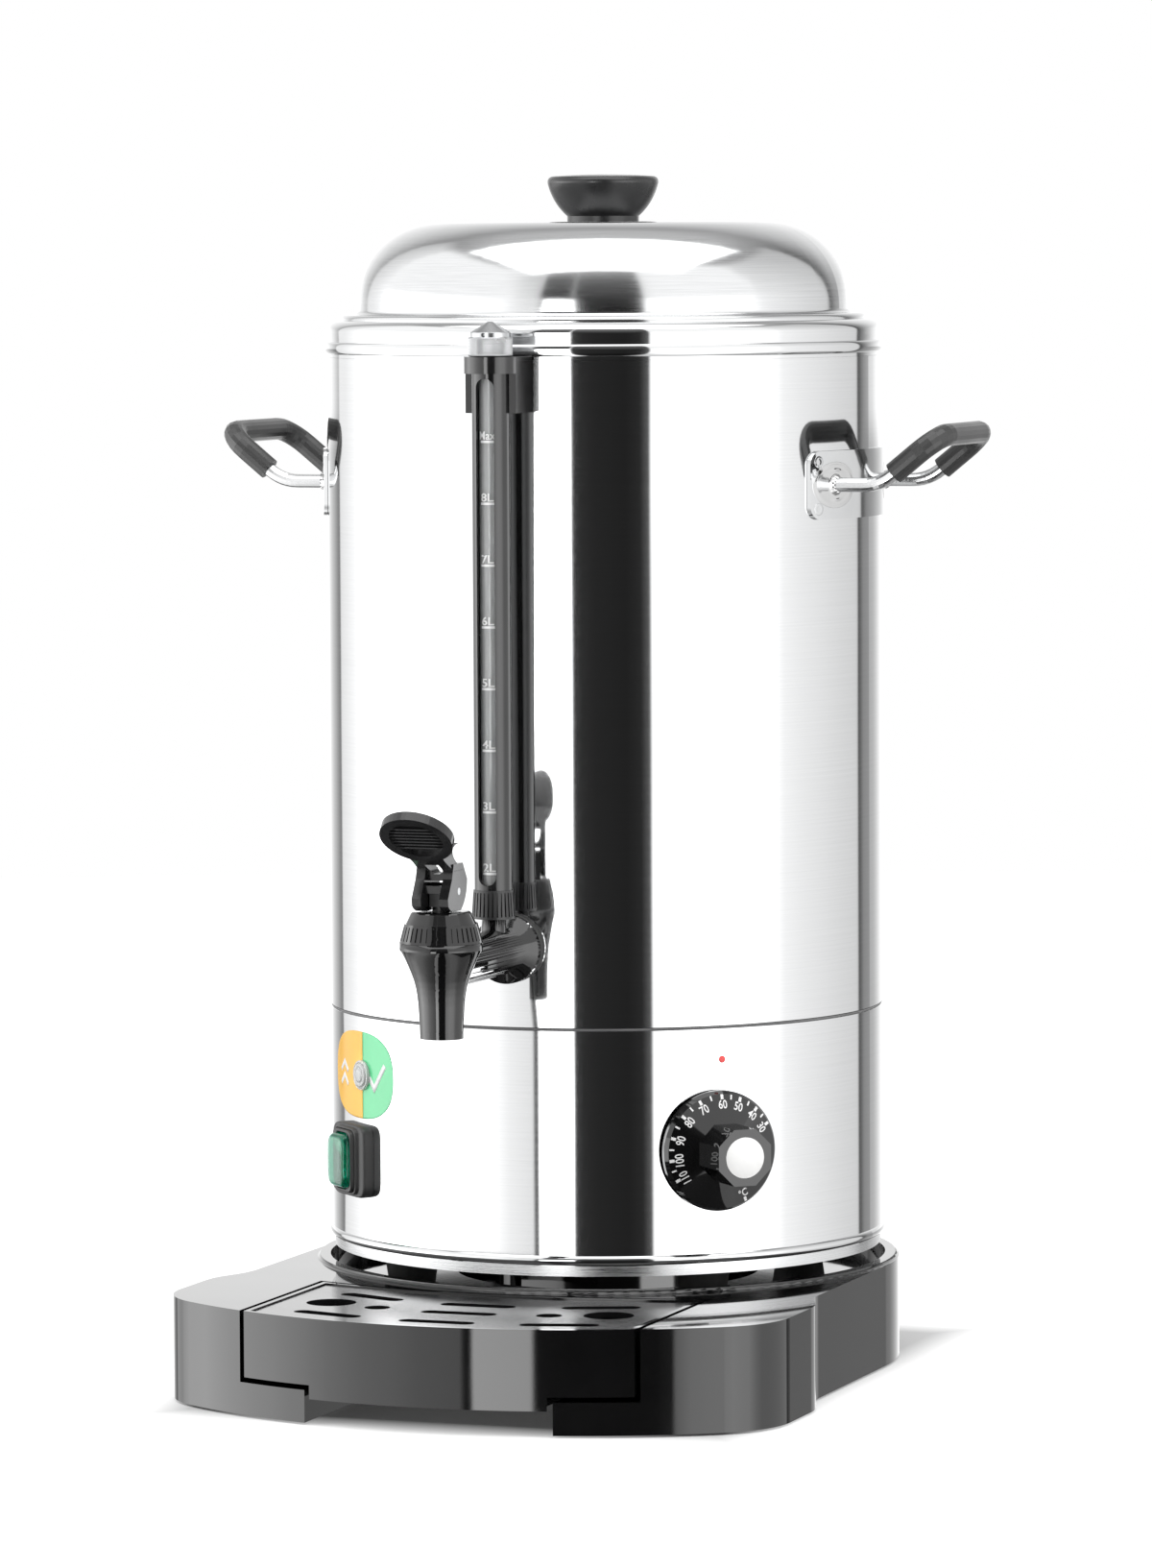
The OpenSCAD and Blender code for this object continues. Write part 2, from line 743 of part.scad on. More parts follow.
module stand() color(black_gloss) difference() {
    union() {
        translate([0, 0, stand_lift]) linear_extrude(stand_h - stand_lift) stand_plan();
        seat_rim();
    }
    difference() {
        translate([0, 0, -1]) linear_extrude(stand_h - stand_wall + 1) stand_plan(stand_wall);
        bay(stand_wall);
        disc(seat_r + stand_wall, seat_z - stand_wall, stand_h);
        for (i = [0:rib_count - 1]) rotate([0, 0, 360 * (i + 0.5) / rib_count])
            translate([0, -rib_w / 2, rib_z]) cube([ring_r, rib_w, stand_h]);
        rest_pad_places() disc(rest_pad_d / 2 + boss_wall, rest_pad_h, stand_h);
    }
    bay();
    disc(seat_r, seat_z, far);
    disc(seat_hole_r, -1, far);
}

// Raised rim of the seat, with a hollow fillet on its outer side.
module seat_rim() translate([0, 0, stand_h]) rotate_extrude() difference() {
    translate([seat_r, -1]) square([ring_r - seat_r, 1 + rim_h]);
    translate([ring_r, rim_h]) circle(r = rim_h);
}

module stand_pads() color(black_soft) rest_pad_places() disc(rest_pad_d / 2, 0, rest_pad_h);

// Plan of the tray: the stand's curved front, straight sides and a curved back, drawn in by an inset.
module tray_plan(inset) intersection() {
    translate([0, front_cy]) circle(r = front_r - inset);
    bay_plan(tray_half, -inset);
    translate([0, -tray_gap]) bay_plan(tray_half, -inset);
}

module drip_tray() color(black_gloss) difference() {
    union() {
        translate([0, 0, notch_z]) linear_extrude(stand_h - notch_z) tray_plan(0);
        translate([0, 0, tray_low]) linear_extrude(stand_h - tray_low) tray_middle(0);
        for (s = [-1, 1]) translate([s * runner_x - runner_w / 2, 0, ledge_h + free_gap]) runner();
    }
    translate([0, 0, grid_z]) linear_extrude(far) tray_plan(tray_edge);
    translate([0, 0, notch_z + tray_floor]) linear_extrude(far) tray_plan(tray_wall);
    translate([0, 0, tray_low + tray_floor]) linear_extrude(far) tray_middle(tray_wall);
}

module tray_middle(inset) intersection() {
    tray_plan(inset);
    strip(tray_mid - inset, -far, 0);
}

module runner() intersection() {
    translate([0, -far, 0]) cube([runner_w, far, notch_z + 1 - ledge_h - free_gap]);
    translate([-runner_x, 0, 0]) linear_extrude(far) strip(far, runner_y0, runner_y1);
}

module drip_grid() color(black_soft) difference() {
    translate([0, 0, grid_z]) linear_extrude(grid_h) tray_plan(tray_edge + free_gap);
    translate([0, 0, grid_z - 1]) linear_extrude(grid_h + 2) {
        for (row = [drain_front, drain_back], side = [-1, 0, 1])
            drain(side * drain_side, row) stadium(slot_len, slot_w);
        drain(0, drain_middle) stadium(slot_len, slot_w);
        for (side = [-1, 1]) {
            drain(side * big_hole_x, drain_middle) circle(d = big_hole_d);
            drain(side * small_hole_x, drain_middle) circle(d = small_hole_d);
        }
    }
}

// Places a drain opening at a distance from the middle, in a row that follows the curved front.
module drain(x, row) let (r = front_r - row, a = asin(x / r))
    translate([x, front_cy - r * cos(a)]) rotate(a) children();

// Upper steel wall of the kettle.
module outer_shell() color(steel) difference() {
    tube(kettle_r, wall_in, shell_z0, collar_z);
    facing(0, 0, tap_z) cylinder(d = shank_d + 2 * hole_gap, h = far);
    bracket_screw_places() cylinder(d = bracket_screw_d + 2 * hole_gap, h = far, center = true);
}

// Lower steel wall, with a bead at its foot and a stepped-in lip at its top.
module lower_housing() color(steel) difference() {
    union() {
        tube(kettle_r, wall_in, bead_z, seam_z - seam_gap / 2);
        difference() {
            translate([0, 0, bead_z + bead_h / 2]) rotate_extrude()
                translate([kettle_r + bead_out - bead_h / 2, 0]) circle(d = bead_h);
            disc(wall_in, 0, far);
        }
        rotate_extrude() polygon([
            [wall_in, seam_z - seam_gap / 2 - sheet], [kettle_r, seam_z - seam_gap / 2],
            [lip_r, seam_z], [lip_r, seam_z + lip_h],
            [lip_r - sheet, seam_z + lip_h], [lip_r - sheet, seam_z - sheet / 2]
        ]);
    }
    facing(dial_angle, 0, dial_z) cylinder(d = bush_d + 2 * hole_gap, h = far);
    facing(lamp_angle, 0, lamp_z) cylinder(d = lamp_d + 2 * hole_gap, h = far);
    facing(180, 0, inlet_z) cylinder(d = inlet_barrel_d + 2 * hole_gap, h = far);
    facing(switch_angle, 0, switch_z) linear_extrude(far)
        square([body_w + 2 * hole_gap, body_h + 2 * hole_gap], center = true);
}

// Drawn steel tank with a rounded bottom corner, open at the top.
module inner_tank() color(bright_steel) difference() {
    rotate_extrude() tank_outline(tank_out, floor_z - tank_wall, tank_corner_r + tank_wall);
    rotate_extrude() tank_outline(tank_in, floor_z, tank_corner_r, 1);
    facing(0, 0, tap_z) cylinder(d = shank_d + 2 * hole_gap, h = far);
}

module tank_outline(r, z0, corner, over = 0) {
    translate([0, z0]) square([r - corner, mouth_z + over - z0]);
    translate([0, z0 + corner]) square([r, mouth_z + over - z0 - corner]);
    translate([r - corner, z0 + corner]) circle(r = corner);
}

// Collar with a bead, which closes the gap between the two walls.
module rim_collar() color(steel) {
    tube(kettle_r, wall_in, collar_z, mouth_z);
    tube(kettle_r, tank_out + fit_gap, mouth_z - sheet, mouth_z);
    difference() {
        translate([0, 0, collar_z + collar_bead_h / 2]) rotate_extrude()
            translate([kettle_r + bead_out - collar_bead_h / 2, 0]) circle(d = collar_bead_h);
        disc(wall_in, 0, far);
    }
}

module foot_places() for (a = [45:90:315]) rotate([0, 0, a])
    translate([0, -(seat_hole_r + seat_r) / 2, 0]) children();

// Pressed bottom plate whose turned-up edge fits inside the lower housing.
module bottom_plate() color(bright_steel) difference() {
    union() {
        disc(pan_r, base_z, base_z + sheet);
        tube(pan_r, pan_r - sheet, base_z, bead_z + bead_h);
    }
    foot_places() disc(foot_screw_d / 2 + hole_gap, 0, far);
    disc(stud_d / 2 + hole_gap, 0, far);
}

module kettle_feet() color(black_soft) foot_places() difference() {
    translate([0, 0, seat_z]) cylinder(d1 = foot_d - 2 * foot_taper, d2 = foot_d, h = foot_h);
    disc(foot_screw_d / 2 + fit_gap, base_z - foot_screw_grip - 1, far);
}

module foot_screws() color(bright_steel) foot_places() {
    disc(foot_screw_d / 2, base_z - foot_screw_grip, base_z + sheet + 1);
    disc(foot_screw_d, base_z + sheet, base_z + sheet + screw_head_h);
}

// Threaded stud between the heat spreader and the bottom plate.
module centre_stud() color(bright_steel) disc(stud_d / 2, base_z - stud_out, spreader_z - fit_gap);

module stud_nut() color(bright_steel) difference() {
    translate([0, 0, base_z - stud_nut_h]) cylinder(d = stud_nut_d, h = stud_nut_h, $fn = 6);
    disc(stud_d / 2 + fit_gap, 0, far);
}

module heat_spreader() color("silver") disc(spreader_r, spreader_z, spreader_z + spreader_h);

// Bent tubular element under the spreader, with two upright terminals.
module heating_element() color([0.45, 0.45, 0.47]) {
    rotate([0, 0, 90 + element_open / 2]) translate([0, 0, element_z])
        rotate_extrude(angle = 360 - element_open) translate([element_r, 0]) circle(d = element_d);
    for (s = [-1, 1]) rotate([0, 0, 90 + s * element_open / 2]) translate([element_r, 0, 0]) {
        translate([0, 0, element_z]) sphere(d = element_d);
        disc(element_d / 2 - 1, element_z - terminal_len, element_z);
    }
}

// Sensing bulb of the thermostat, held by a saddle clip under the spreader.
module sensor_bulb() color(copper) translate([bulb_x, 0, spreader_z - fit_gap - bulb_d / 2]) {
    rotate([90, 0, 0]) cylinder(d = bulb_d, h = bulb_len, center = true);
    translate([-bulb_d, -clip_w / 2, 0]) cube([2 * bulb_d, clip_w, bulb_d / 2]);
}

// Button cut-out that breaks the circuit when the tank boils dry.
module thermal_cutout() color(black_soft) translate([cutout_x, cutout_y, spreader_z - fit_gap]) {
    disc(cutout_d / 2, -cutout_h, 0);
    translate([0, 0, -ear_h]) linear_extrude(ear_h) stadium(ear_len, ear_w);
    for (s = [-1, 1]) translate([s * cutout_d / 4 - blade_h / 2, -blade_w / 2, -cutout_h - blade_len])
        cube([blade_h, blade_w, blade_len + 1]);
}

// Screw terminals for the lead, on the bottom plate behind the inlet.
module terminal_block() color("ivory") translate([0, kettle_r - block_back, base_z + sheet]) difference() {
    translate([-block_w / 2, -block_len / 2, 0]) cube([block_w, block_len, block_h]);
    for (i = [-1, 0, 1]) translate([i * block_w / 3, 0, block_h / 2]) {
        rotate([90, 0, 0]) cylinder(d = block_bore, h = far, center = true);
        cylinder(d = block_bore, h = far);
    }
}

// Bush in the back of the housing through which the mains lead enters.
module lead_inlet() color(black_soft) difference() {
    union() {
        facing(180, 0, inlet_z) cylinder(d = inlet_barrel_d, h = kettle_r + 1);
        difference() {
            facing(180, 0, inlet_z) cylinder(d = inlet_flange_d, h = kettle_r + inlet_out);
            disc(kettle_r + fit_gap, 0, far);
        }
        intersection() {
            facing(180, 0, inlet_z) cylinder(d = inlet_barrel_d + 3, h = wall_in);
            disc(wall_in - fit_gap, 0, far);
        }
    }
    facing(180, 0, inlet_z) cylinder(d = inlet_bore, h = far);
    facing(180, 0, inlet_z) cylinder(d = far, h = wall_in - inlet_len);
}

// Capillary thermostat behind the dial, with the threaded bush that holds it to the wall.
module thermostat() color("ivory") facing(dial_angle, 0, dial_z) difference() {
    u0 = sqrt(pow(wall_in, 2) - pow(thermostat_w / 2, 2)) - 1;
    union() {
        translate([0, 0, u0 - thermostat_len]) linear_extrude(thermostat_len)
            rounded(thermostat_w, thermostat_w, case_corner);
        translate([0, 0, u0 - 1]) cylinder(d = fix_nut_d, h = wall_in - hole_gap - u0 + 1);
        translate([0, 0, u0 - 1]) cylinder(d = bush_d, h = kettle_r + fix_nut_h + 1 - u0);
    }
    translate([0, 0, u0 - spindle_in]) cylinder(d = spindle_d + 2 * running_gap, h = far);
}

module thermostat_nut() color(bright_steel) facing(dial_angle, kettle_r + fit_gap, dial_z) difference() {
    cylinder(d = fix_nut_d, h = fix_nut_h, $fn = 6);
    translate([0, 0, -1]) cylinder(d = bush_d + 2 * fit_gap, h = far);
}

module thermostat_spindle() color(bright_steel) facing(dial_angle, wall_in - spindle_in, dial_z)
    cylinder(d = spindle_d, h = spindle_tip - wall_in + spindle_in);

// Dial with a bevelled rim, a conical face and an octagonal hub, hollow behind for the fixing nut.
module thermostat_dial() color(black_gloss) facing(dial_angle, dial_u, dial_z) difference() {
    union() {
        rotate_extrude() polygon([
            [0, 0], [dial_d / 2, 0], [dial_d / 2, dial_h / 2], [dial_d / 2 - dial_bevel, dial_h],
            [hub_w / 2, dial_h + face_rise], [0, dial_h + face_rise]
        ]);
        rotate(180 / hub_sides) cylinder(d = hub_w / cos(180 / hub_sides), h = hub_front, $fn = hub_sides);
    }
    translate([0, 0, -1]) cylinder(d = fix_nut_d + 2 * nut_room, h = fix_nut_h + nut_room + 1);
    translate([0, 0, -1]) cylinder(d = spindle_d + 2 * fit_gap, h = hub_front - cap_seat);
    translate([0, 0, hub_front - cap_seat]) cylinder(d = dial_cap_d + 2 * fit_gap, h = cap_seat + 1);
}

module dial_cap() color("white") facing(dial_angle, hub_u - cap_seat, dial_z)
    rotate_extrude() intersection() {
        square([dial_cap_d / 2, cap_seat + 2 * cap_crown]);
        translate([0, cap_seat + cap_crown - cap_crown_r]) circle(r = cap_crown_r);
    }

// Boot round the switch, stepped in twice towards the bezel and shaped to the curved wall.
module switch_boot() color(black_soft) difference() {
    facing(switch_angle, 0, switch_z) {
        linear_extrude(boot_u) rounded(boot_w, boot_h, boot_corner);
        linear_extrude(boot_u + ridge_len)
            rounded((boot_w + bezel_w) / 2, (boot_h + bezel_h) / 2, boot_corner);
        linear_extrude(bezel_u) rounded(bezel_w, bezel_h, boot_corner - 1);
    }
    disc(kettle_r + fit_gap, 0, far);
    facing(switch_angle, 0, switch_z) {
        linear_extrude(body_u + fit_gap) square([body_w + 2 * fit_gap, body_h + 2 * fit_gap], center = true);
        linear_extrude(far) square([rocker_w + 2 * free_gap, rocker_h + 2 * free_gap], center = true);
    }
}

// Switch mechanism behind the rocker, with three blade terminals.
module switch_body() color(black_soft) facing(switch_angle, 0, switch_z) {
    body_u0 = wall_in - switch_len;
    difference() {
        translate([0, 0, body_u0]) linear_extrude(body_u - body_u0) square([body_w, body_h], center = true);
        translate([0, 0, body_u - rocker_back]) linear_extrude(far)
            square([rocker_w + 2 * free_gap, rocker_h + 2 * free_gap], center = true);
    }
    for (y = [-blade_pitch, 0, blade_pitch]) translate([-blade_w / 2, y - blade_h / 2, body_u0 - blade_len])
        cube([blade_w, blade_h, blade_len + 1]);
}

// Rocker with round ends about its pivot and two faces that meet in a shallow vee.
module switch_rocker() color([0.0, 0.45, 0.25]) facing(switch_angle, pivot_u, switch_z)
    rotate([0, 90, 0]) linear_extrude(rocker_w, center = true) rotate(rocker_tilt) rocker_profile();

// Profile in the pivot's plane: outwards is -x and up is y.
module rocker_profile() intersection() {
    circle(d = rocker_h);
    face = pivot_depth + rocker_out;
    rise = tan(rocker_tilt) * rocker_h / 2;
    polygon([
        [rocker_back, -rocker_h / 2], [rocker_back, rocker_h / 2],
        [-face - rise, rocker_h / 2], [-face, 0], [-face - rise, -rocker_h / 2]
    ]);
}

// Clear lens with a flange and a stepped dome.
module lamp_lens() color([0.9, 0.92, 0.9, 0.6]) difference() {
    facing(lamp_angle, 0, lamp_z) rotate_extrude() {
        square([lens_d / 2, kettle_r + lens_rim_h]);
        square([lens_d / 2 - lens_step, kettle_r + lens_step_h]);
        intersection() {
            square([lens_d / 2, kettle_r + lens_h]);
            translate([0, kettle_r + lens_h - lens_d / 2]) circle(d = lens_d - lens_step);
        }
    }
    disc(kettle_r + fit_gap, 0, far);
    facing(lamp_angle, 0, lamp_z) cylinder(d = lamp_d + 2 * fit_gap, h = kettle_r + lens_hollow);
}

module lamp_body() color(black_soft) facing(lamp_angle, 0, lamp_z) {
    translate([0, 0, wall_in - lamp_len]) cylinder(d = lamp_d, h = lamp_len + sheet + lens_hollow - fit_gap);
    for (s = [-1, 1]) translate([s * lamp_d / 4 - blade_h / 2, -blade_w / 4, wall_in - lamp_len - blade_len])
        cube([blade_h, blade_w / 2, blade_len + 1]);
}

// Weld plate: a rounded rectangle cut out of a tube that hugs the wall.
module handle_plate(side) color(steel) intersection() {
    tube(plate_out_r, kettle_r + fit_gap, handle_z - plate_h, handle_z + plate_h);
    facing(side * 90, 0, handle_z) linear_extrude(far) rounded(plate_chord(), plate_h, plate_corner_r);
}

// Width across a plate that is measured along the wall.
function plate_chord() = 2 * plate_out_r * sin(plate_w / plate_out_r * 90 / PI);

// One half of a handle's path in the wall's own frame (along the wall, up, outwards), as rows of point,
// tangent and normal. It runs out of the wall, bends up the slope and turns the corner into the crossbar.
function half_path(start) = let (
    half = leg_gap / 2,
    up_slope = [0, sin(slope), cos(slope)],
    over_slope = [0, cos(slope), -sin(slope)],
    foot = [half, 0, leg_u1],
    top = foot + up_slope * (slope_run - corner_r)
) concat(
    start > 0 ? [[foot + up_slope * (elbow_cut + start), up_slope, over_slope]] : concat(
        [[[half, 0, leg_u0], [0, 0, 1], [0, 1, 0]]],
        [for (a = [0:slope / bend_steps:slope]) [
            [half, elbow_r * (1 - cos(a)), leg_u1 - elbow_cut + elbow_r * sin(a)],
            [0, sin(a), cos(a)], [0, cos(a), -sin(a)]]]),
    [for (a = [0:90 / bend_steps:90]) [
        top + corner_r * (sin(a) * up_slope + [cos(a) - 1, 0, 0]),
        cos(a) * up_slope - [sin(a), 0, 0], over_slope]]
);

function across(v) = [-v[0], v[1], v[2]];

function handle_path(start) = let (half = half_path(start)) concat(half,
    [for (i = [len(half) - 1:-1:0]) [across(half[i][0]), -across(half[i][1]), across(half[i][2])]]);

function ring_points(row, r) = [for (j = [0:bar_sides - 1]) let (a = 360 * j / bar_sides)
    row[0] + r * (cos(a) * row[2] + sin(a) * cross(row[2], row[1]))];

// Side faces between the rings of a swept bar, whose points start at an index.
function skin_faces(rings, first) = [for (i = [0:rings - 2], j = [0:bar_sides - 1], half = [0, 1]) let (
    a = first + i * bar_sides, b = a + bar_sides, k = (j + 1) % bar_sides)
    half == 0 ? [a + j, b + j, b + k] : [a + j, b + k, a + k]];

function flipped(faces) = [for (f = faces) [f[2], f[1], f[0]]];

// Faces of the flat ring between the outer and the inner skin at one end.
function end_faces(outer, inner) = [for (j = [0:bar_sides - 1], half = [0, 1]) let (k = (j + 1) % bar_sides)
    half == 0 ? [outer + j, outer + k, inner + k] : [outer + j, inner + k, inner + j]];

module handle_rod(side) color(bright_steel) facing(side * 90, 0, handle_z) {
    path = handle_path(0);
    rings = len(path);
    polyhedron([for (row = path) each ring_points(row, rod_d / 2)], concat(
        [[for (j = [0:bar_sides - 1]) j]],
        [[for (j = [bar_sides - 1:-1:0]) (rings - 1) * bar_sides + j]],
        skin_faces(rings, 0)));
}

// Sleeve of soft plastic on the slopes and the crossbar, hollow for the rod.
module handle_grip(side) color(black_soft) facing(side * 90, 0, handle_z) {
    path = handle_path(grip_start);
    rings = len(path);
    inner = rings * bar_sides;
    last = (rings - 1) * bar_sides;
    polyhedron(concat([for (row = path) each ring_points(row, grip_d / 2)],
        [for (row = path) each ring_points(row, rod_d / 2 + fit_gap)]), concat(
        skin_faces(rings, 0),
        flipped(skin_faces(rings, inner)),
        end_faces(0, inner),
        flipped(end_faces(last, inner + last))));
}

module left_handle_plate() handle_plate(-1);
module left_handle_rod() handle_rod(-1);
module left_handle_grip() handle_grip(-1);
module right_handle_plate() handle_plate(1);
module right_handle_rod() handle_rod(1);
module right_handle_grip() handle_grip(1);

module at_gauge() translate([0, -gauge_r, 0]) children();

// Black guard tube with a long window that has round ends.
module gauge_guard() color(black_gloss) at_gauge() difference() {
    tube(guard_d / 2, guard_d / 2 - guard_wall, guard_z0, guard_z1);
    translate([0, 0, (window_z0 + window_z1) / 2]) rotate([90, 90, 0]) linear_extrude(guard_d)
        stadium(window_z1 - window_z0, window_w);
}

module gauge_tube() color([0.85, 0.9, 0.9, 0.4]) at_gauge()
    tube(tube_d / 2, tube_d / 2 - tube_wall, socket_z, tube_z1);

// Wall bracket: a channel open at the front, with a closed ring at its top.
module gauge_bracket() color(black_gloss) difference() {
    union() {
        translate([-bracket_w / 2, -gauge_r, guard_z1 - bracket_h])
            cube([bracket_w, gauge_off + bracket_root, bracket_h]);
        at_gauge() disc(bracket_w / 2, guard_z1 - bracket_ring_h, guard_z1);
    }
    at_gauge() disc(guard_d / 2 + fit_gap, 0, far);
    translate([-guard_d / 2 - fit_gap, -gauge_r - guard_d, 0])
        cube([guard_d + 2 * fit_gap, guard_d, guard_z1 - bracket_ring_h]);
    disc(kettle_r + fit_gap, 0, far);
    disc(kettle_r + bead_out + fit_gap, collar_z - fit_gap, far);
    bracket_screw_places() translate([0, 0, -far / 2])
        cylinder(d = bracket_screw_d + 2 * fit_gap, h = far / 2 + bracket_screw_len + 1);
}

module bracket_screw_places() for (s = [-1, 1])
    translate([0, 0, guard_z1 - bracket_h / 2 + s * bracket_h / 4]) facing(0, kettle_r, 0) children();

module bracket_screws() color(bright_steel) bracket_screw_places() {
    translate([0, 0, -sheet - 1]) cylinder(d = bracket_screw_d, h = sheet + 1 + bracket_screw_len);
    translate([0, 0, -sheet - fit_gap - screw_head_h]) cylinder(d = 2 * bracket_screw_d, h = screw_head_h);
}

// Metal cap with a straight band, a cone and a vent through the side.
module gauge_cap() color(bright_steel) at_gauge() difference() {
    r = cap_d / 2;
    top = cap_knurl_h + cap_cone_h;
    vent_z = guard_z1 + cap_knurl_h + cap_band_h / 2;
    union() {
        disc(guard_d / 2 - guard_wall - fit_gap, tube_z1 + fit_gap, guard_z1 + 1);
        translate([0, 0, guard_z1 + fit_gap]) rotate_extrude() polygon([
            [0, 0], [r - cap_edge, 0], [r, cap_edge],
            [r, cap_knurl_h - cap_edge], [r - cap_edge, cap_knurl_h], [r - cap_step, cap_knurl_h],
            [r - cap_step, cap_knurl_h + cap_band_h], [cap_tip_r, top], [0, top]
        ]);
    }
    translate([0, 0, vent_z]) rotate([90, 0, 0]) cylinder(d = vent_d, h = far);
    disc(vent_d / 2, 0, vent_z);
}

// Flared union nut with grooves all round, which clamps the tube on the tap's port.
module gauge_nut() color(black_soft) at_gauge() difference() {
    translate([0, 0, nut_z]) cylinder(d1 = nut_d, d2 = nut_d - nut_taper, h = nut_h);
    disc(spigot_r + fit_gap, 0, guard_z0 - nut_top_h);
    disc(tube_d / 2 + hole_gap, 0, far);
    for (i = [0:nut_grooves - 1]) rotate([0, 0, 360 * i / nut_grooves])
        translate([nut_d / 2 - nut_wall / 2, -groove_w / 2, nut_z + 1]) cube([nut_wall, groove_w, nut_h - 2]);
}

// Rubber rings at both ends of the clear tube.
module gauge_seals() color([0.15, 0.15, 0.15]) at_gauge() {
    tube(spigot_r - fit_gap, tube_d / 2 + fit_gap, spigot_z1, spigot_z1 + seal_h);
    tube(guard_d / 2 - guard_wall - fit_gap, tube_d / 2 + fit_gap, tube_z1 - 1 - upper_seal_h, tube_z1 - 1);
}

module at_spout() translate([0, -spout_r, 0]) children();

// Tap moulding: flange, barrel, gauge port, valve chamber and tapered spout.
module tap_body() color(black_gloss) difference() {
    union() {
        facing(0, flange_u, tap_z) {
            cylinder(d = flange_d, h = flange_h - flange_step);
            cylinder(d = flange_d - 2 * flange_step, h = flange_h);
            cylinder(d = barrel_d, h = spout_r - flange_u);
            translate([0, 0, -shank_len]) cylinder(d = shank_d, h = shank_len + 1);
        }
        at_gauge() {
            disc(port_d / 2, tap_z, nut_z + 1);
            disc(spigot_r, nut_z + fit_gap, spigot_z1);
        }
        at_spout() rotate_extrude() polygon([
            [0, mouth_low_z], [mouth_d / 2, mouth_low_z], [waist_d / 2, waist_z],
            [(waist_d + rim_d) / 4 + chamber_swell, (waist_z + rim_z) / 2], [rim_d / 2, rim_z - rim_lip_h],
            [rim_d / 2, rim_z], [collar_r, rim_z], [collar_r, collar_top_z], [0, collar_top_z]
        ]);
    }
    at_spout() {
        rotate_extrude() polygon([
            [0, seat_top_z - 1], [cup_r + seat_room, seat_top_z - 1], [cup_r + seat_room, seat_top_z],
            [chamber_r, rim_z - rim_lip_h], [chamber_r, far], [0, far]
        ]);
        disc(spout_bore / 2, 0, far);
    }
    facing(0, 0, tap_z) cylinder(d = barrel_bore, h = spout_r);
    at_gauge() {
        disc(port_bore / 2, tap_z, far);
        disc(tube_d / 2 + fit_gap, socket_z - fit_gap, far);
    }
}

// Rubber washers shaped to the outside of the shell and to the inside of the tank.
module tap_outer_washer() color(black_soft) difference() {
    facing(0, 0, tap_z) cylinder(d = flange_d, h = flange_u);
    disc(kettle_r + fit_gap, 0, far);
    facing(0, 0, tap_z) cylinder(d = shank_d + 2 * fit_gap, h = far);
}

module tap_inner_washer() color(black_soft) intersection() {
    rotate_extrude() tank_outline(tank_in - fit_gap, floor_z + fit_gap, tank_corner_r - fit_gap);
    facing(0, tank_in - washer_h - 1, tap_z) difference() {
        cylinder(d = flange_d, h = 2 * washer_h);
        translate([0, 0, -1]) cylinder(d = shank_d + 2 * fit_gap, h = far);
    }
}

// Sleeve that keeps the two walls apart where the shank passes.
module tap_spacer() color("silver") intersection() {
    difference() {
        disc(wall_in - fit_gap, 0, far);
        disc(tank_out + fit_gap, -1, far);
    }
    facing(0, 0, tap_z) difference() {
        cylinder(d = flange_d - 4, h = far);
        cylinder(d = shank_d + 2 * fit_gap, h = far);
    }
}

module tap_inner_nut() color(black_soft) facing(0, tank_in - washer_h - 1 - inner_nut_h, tap_z) difference() {
    cylinder(d = flange_d - 1, h = inner_nut_h - fit_gap, $fn = 6);
    translate([0, 0, -1]) cylinder(d = shank_d + 2 * fit_gap, h = far);
}

// Screwed bonnet: a grooved skirt under a low dome with the stem's bore.
module tap_bonnet() color(black_gloss) at_spout() difference() {
    ring_top_r = (rim_d - bonnet_taper) / 2;
    ring_lean = atan(bonnet_taper / 2 / bonnet_ring_h);
    edge_x = bonnet_top_d / 2 - bonnet_edge_r;
    union() {
        translate([0, 0, rim_z + fit_gap]) cylinder(d1 = rim_d, r2 = ring_top_r, h = bonnet_ring_h - fit_gap);
        rotate_extrude() {
            square([edge_x, bonnet_z]);
            polygon(concat([[0, bonnet_ring_z], [ring_top_r - bonnet_step, bonnet_ring_z]],
                arc(edge_x, bonnet_z - bonnet_edge_r, bonnet_edge_r, 20, 90, 5), [[0, bonnet_z]]));
        }
    }
    disc(far, -1, rim_z + fit_gap);
    disc(collar_r + fit_gap, 0, collar_top_z + fit_gap);
    disc(edge_x - bonnet_step, 0, bonnet_z - bonnet_roof);
    disc(stem_d / 2 + 2 * fit_gap, 0, far);
    for (i = [0:bonnet_grooves - 1]) rotate([0, 0, 360 * i / bonnet_grooves])
        translate([rim_d / 2 - groove_w, -groove_w / 2, rim_z + 1]) rotate([0, -ring_lean, 0])
            cube([bonnet_taper, groove_w, bonnet_ring_h - 2]);
}

// Stem with a flange for the spring at its foot and an eye for the lever's pin at its top.
module tap_stem() color(black_soft) at_spout() difference() {
    head_w = fork_gap - 2 * free_gap;
    union() {
        disc(stem_tip_r, stem_foot_z - stem_tip_h, stem_foot_z + 1);
        disc(cup_r + 1, stem_foot_z, spring_z0);
        disc(stem_d / 2, stem_foot_z, pin_z);
        translate([0, 0, pin_z]) rotate([0, 90, 0]) cylinder(r = eye_r, h = head_w, center = true);
        translate([-head_w / 2, -eye_r, head_z]) cube([head_w, 2 * eye_r, pin_z - head_z]);
    }
    translate([0, 0, pin_z]) rotate([0, 90, 0]) cylinder(d = pin_d + pin_press, h = far, center = true);
}

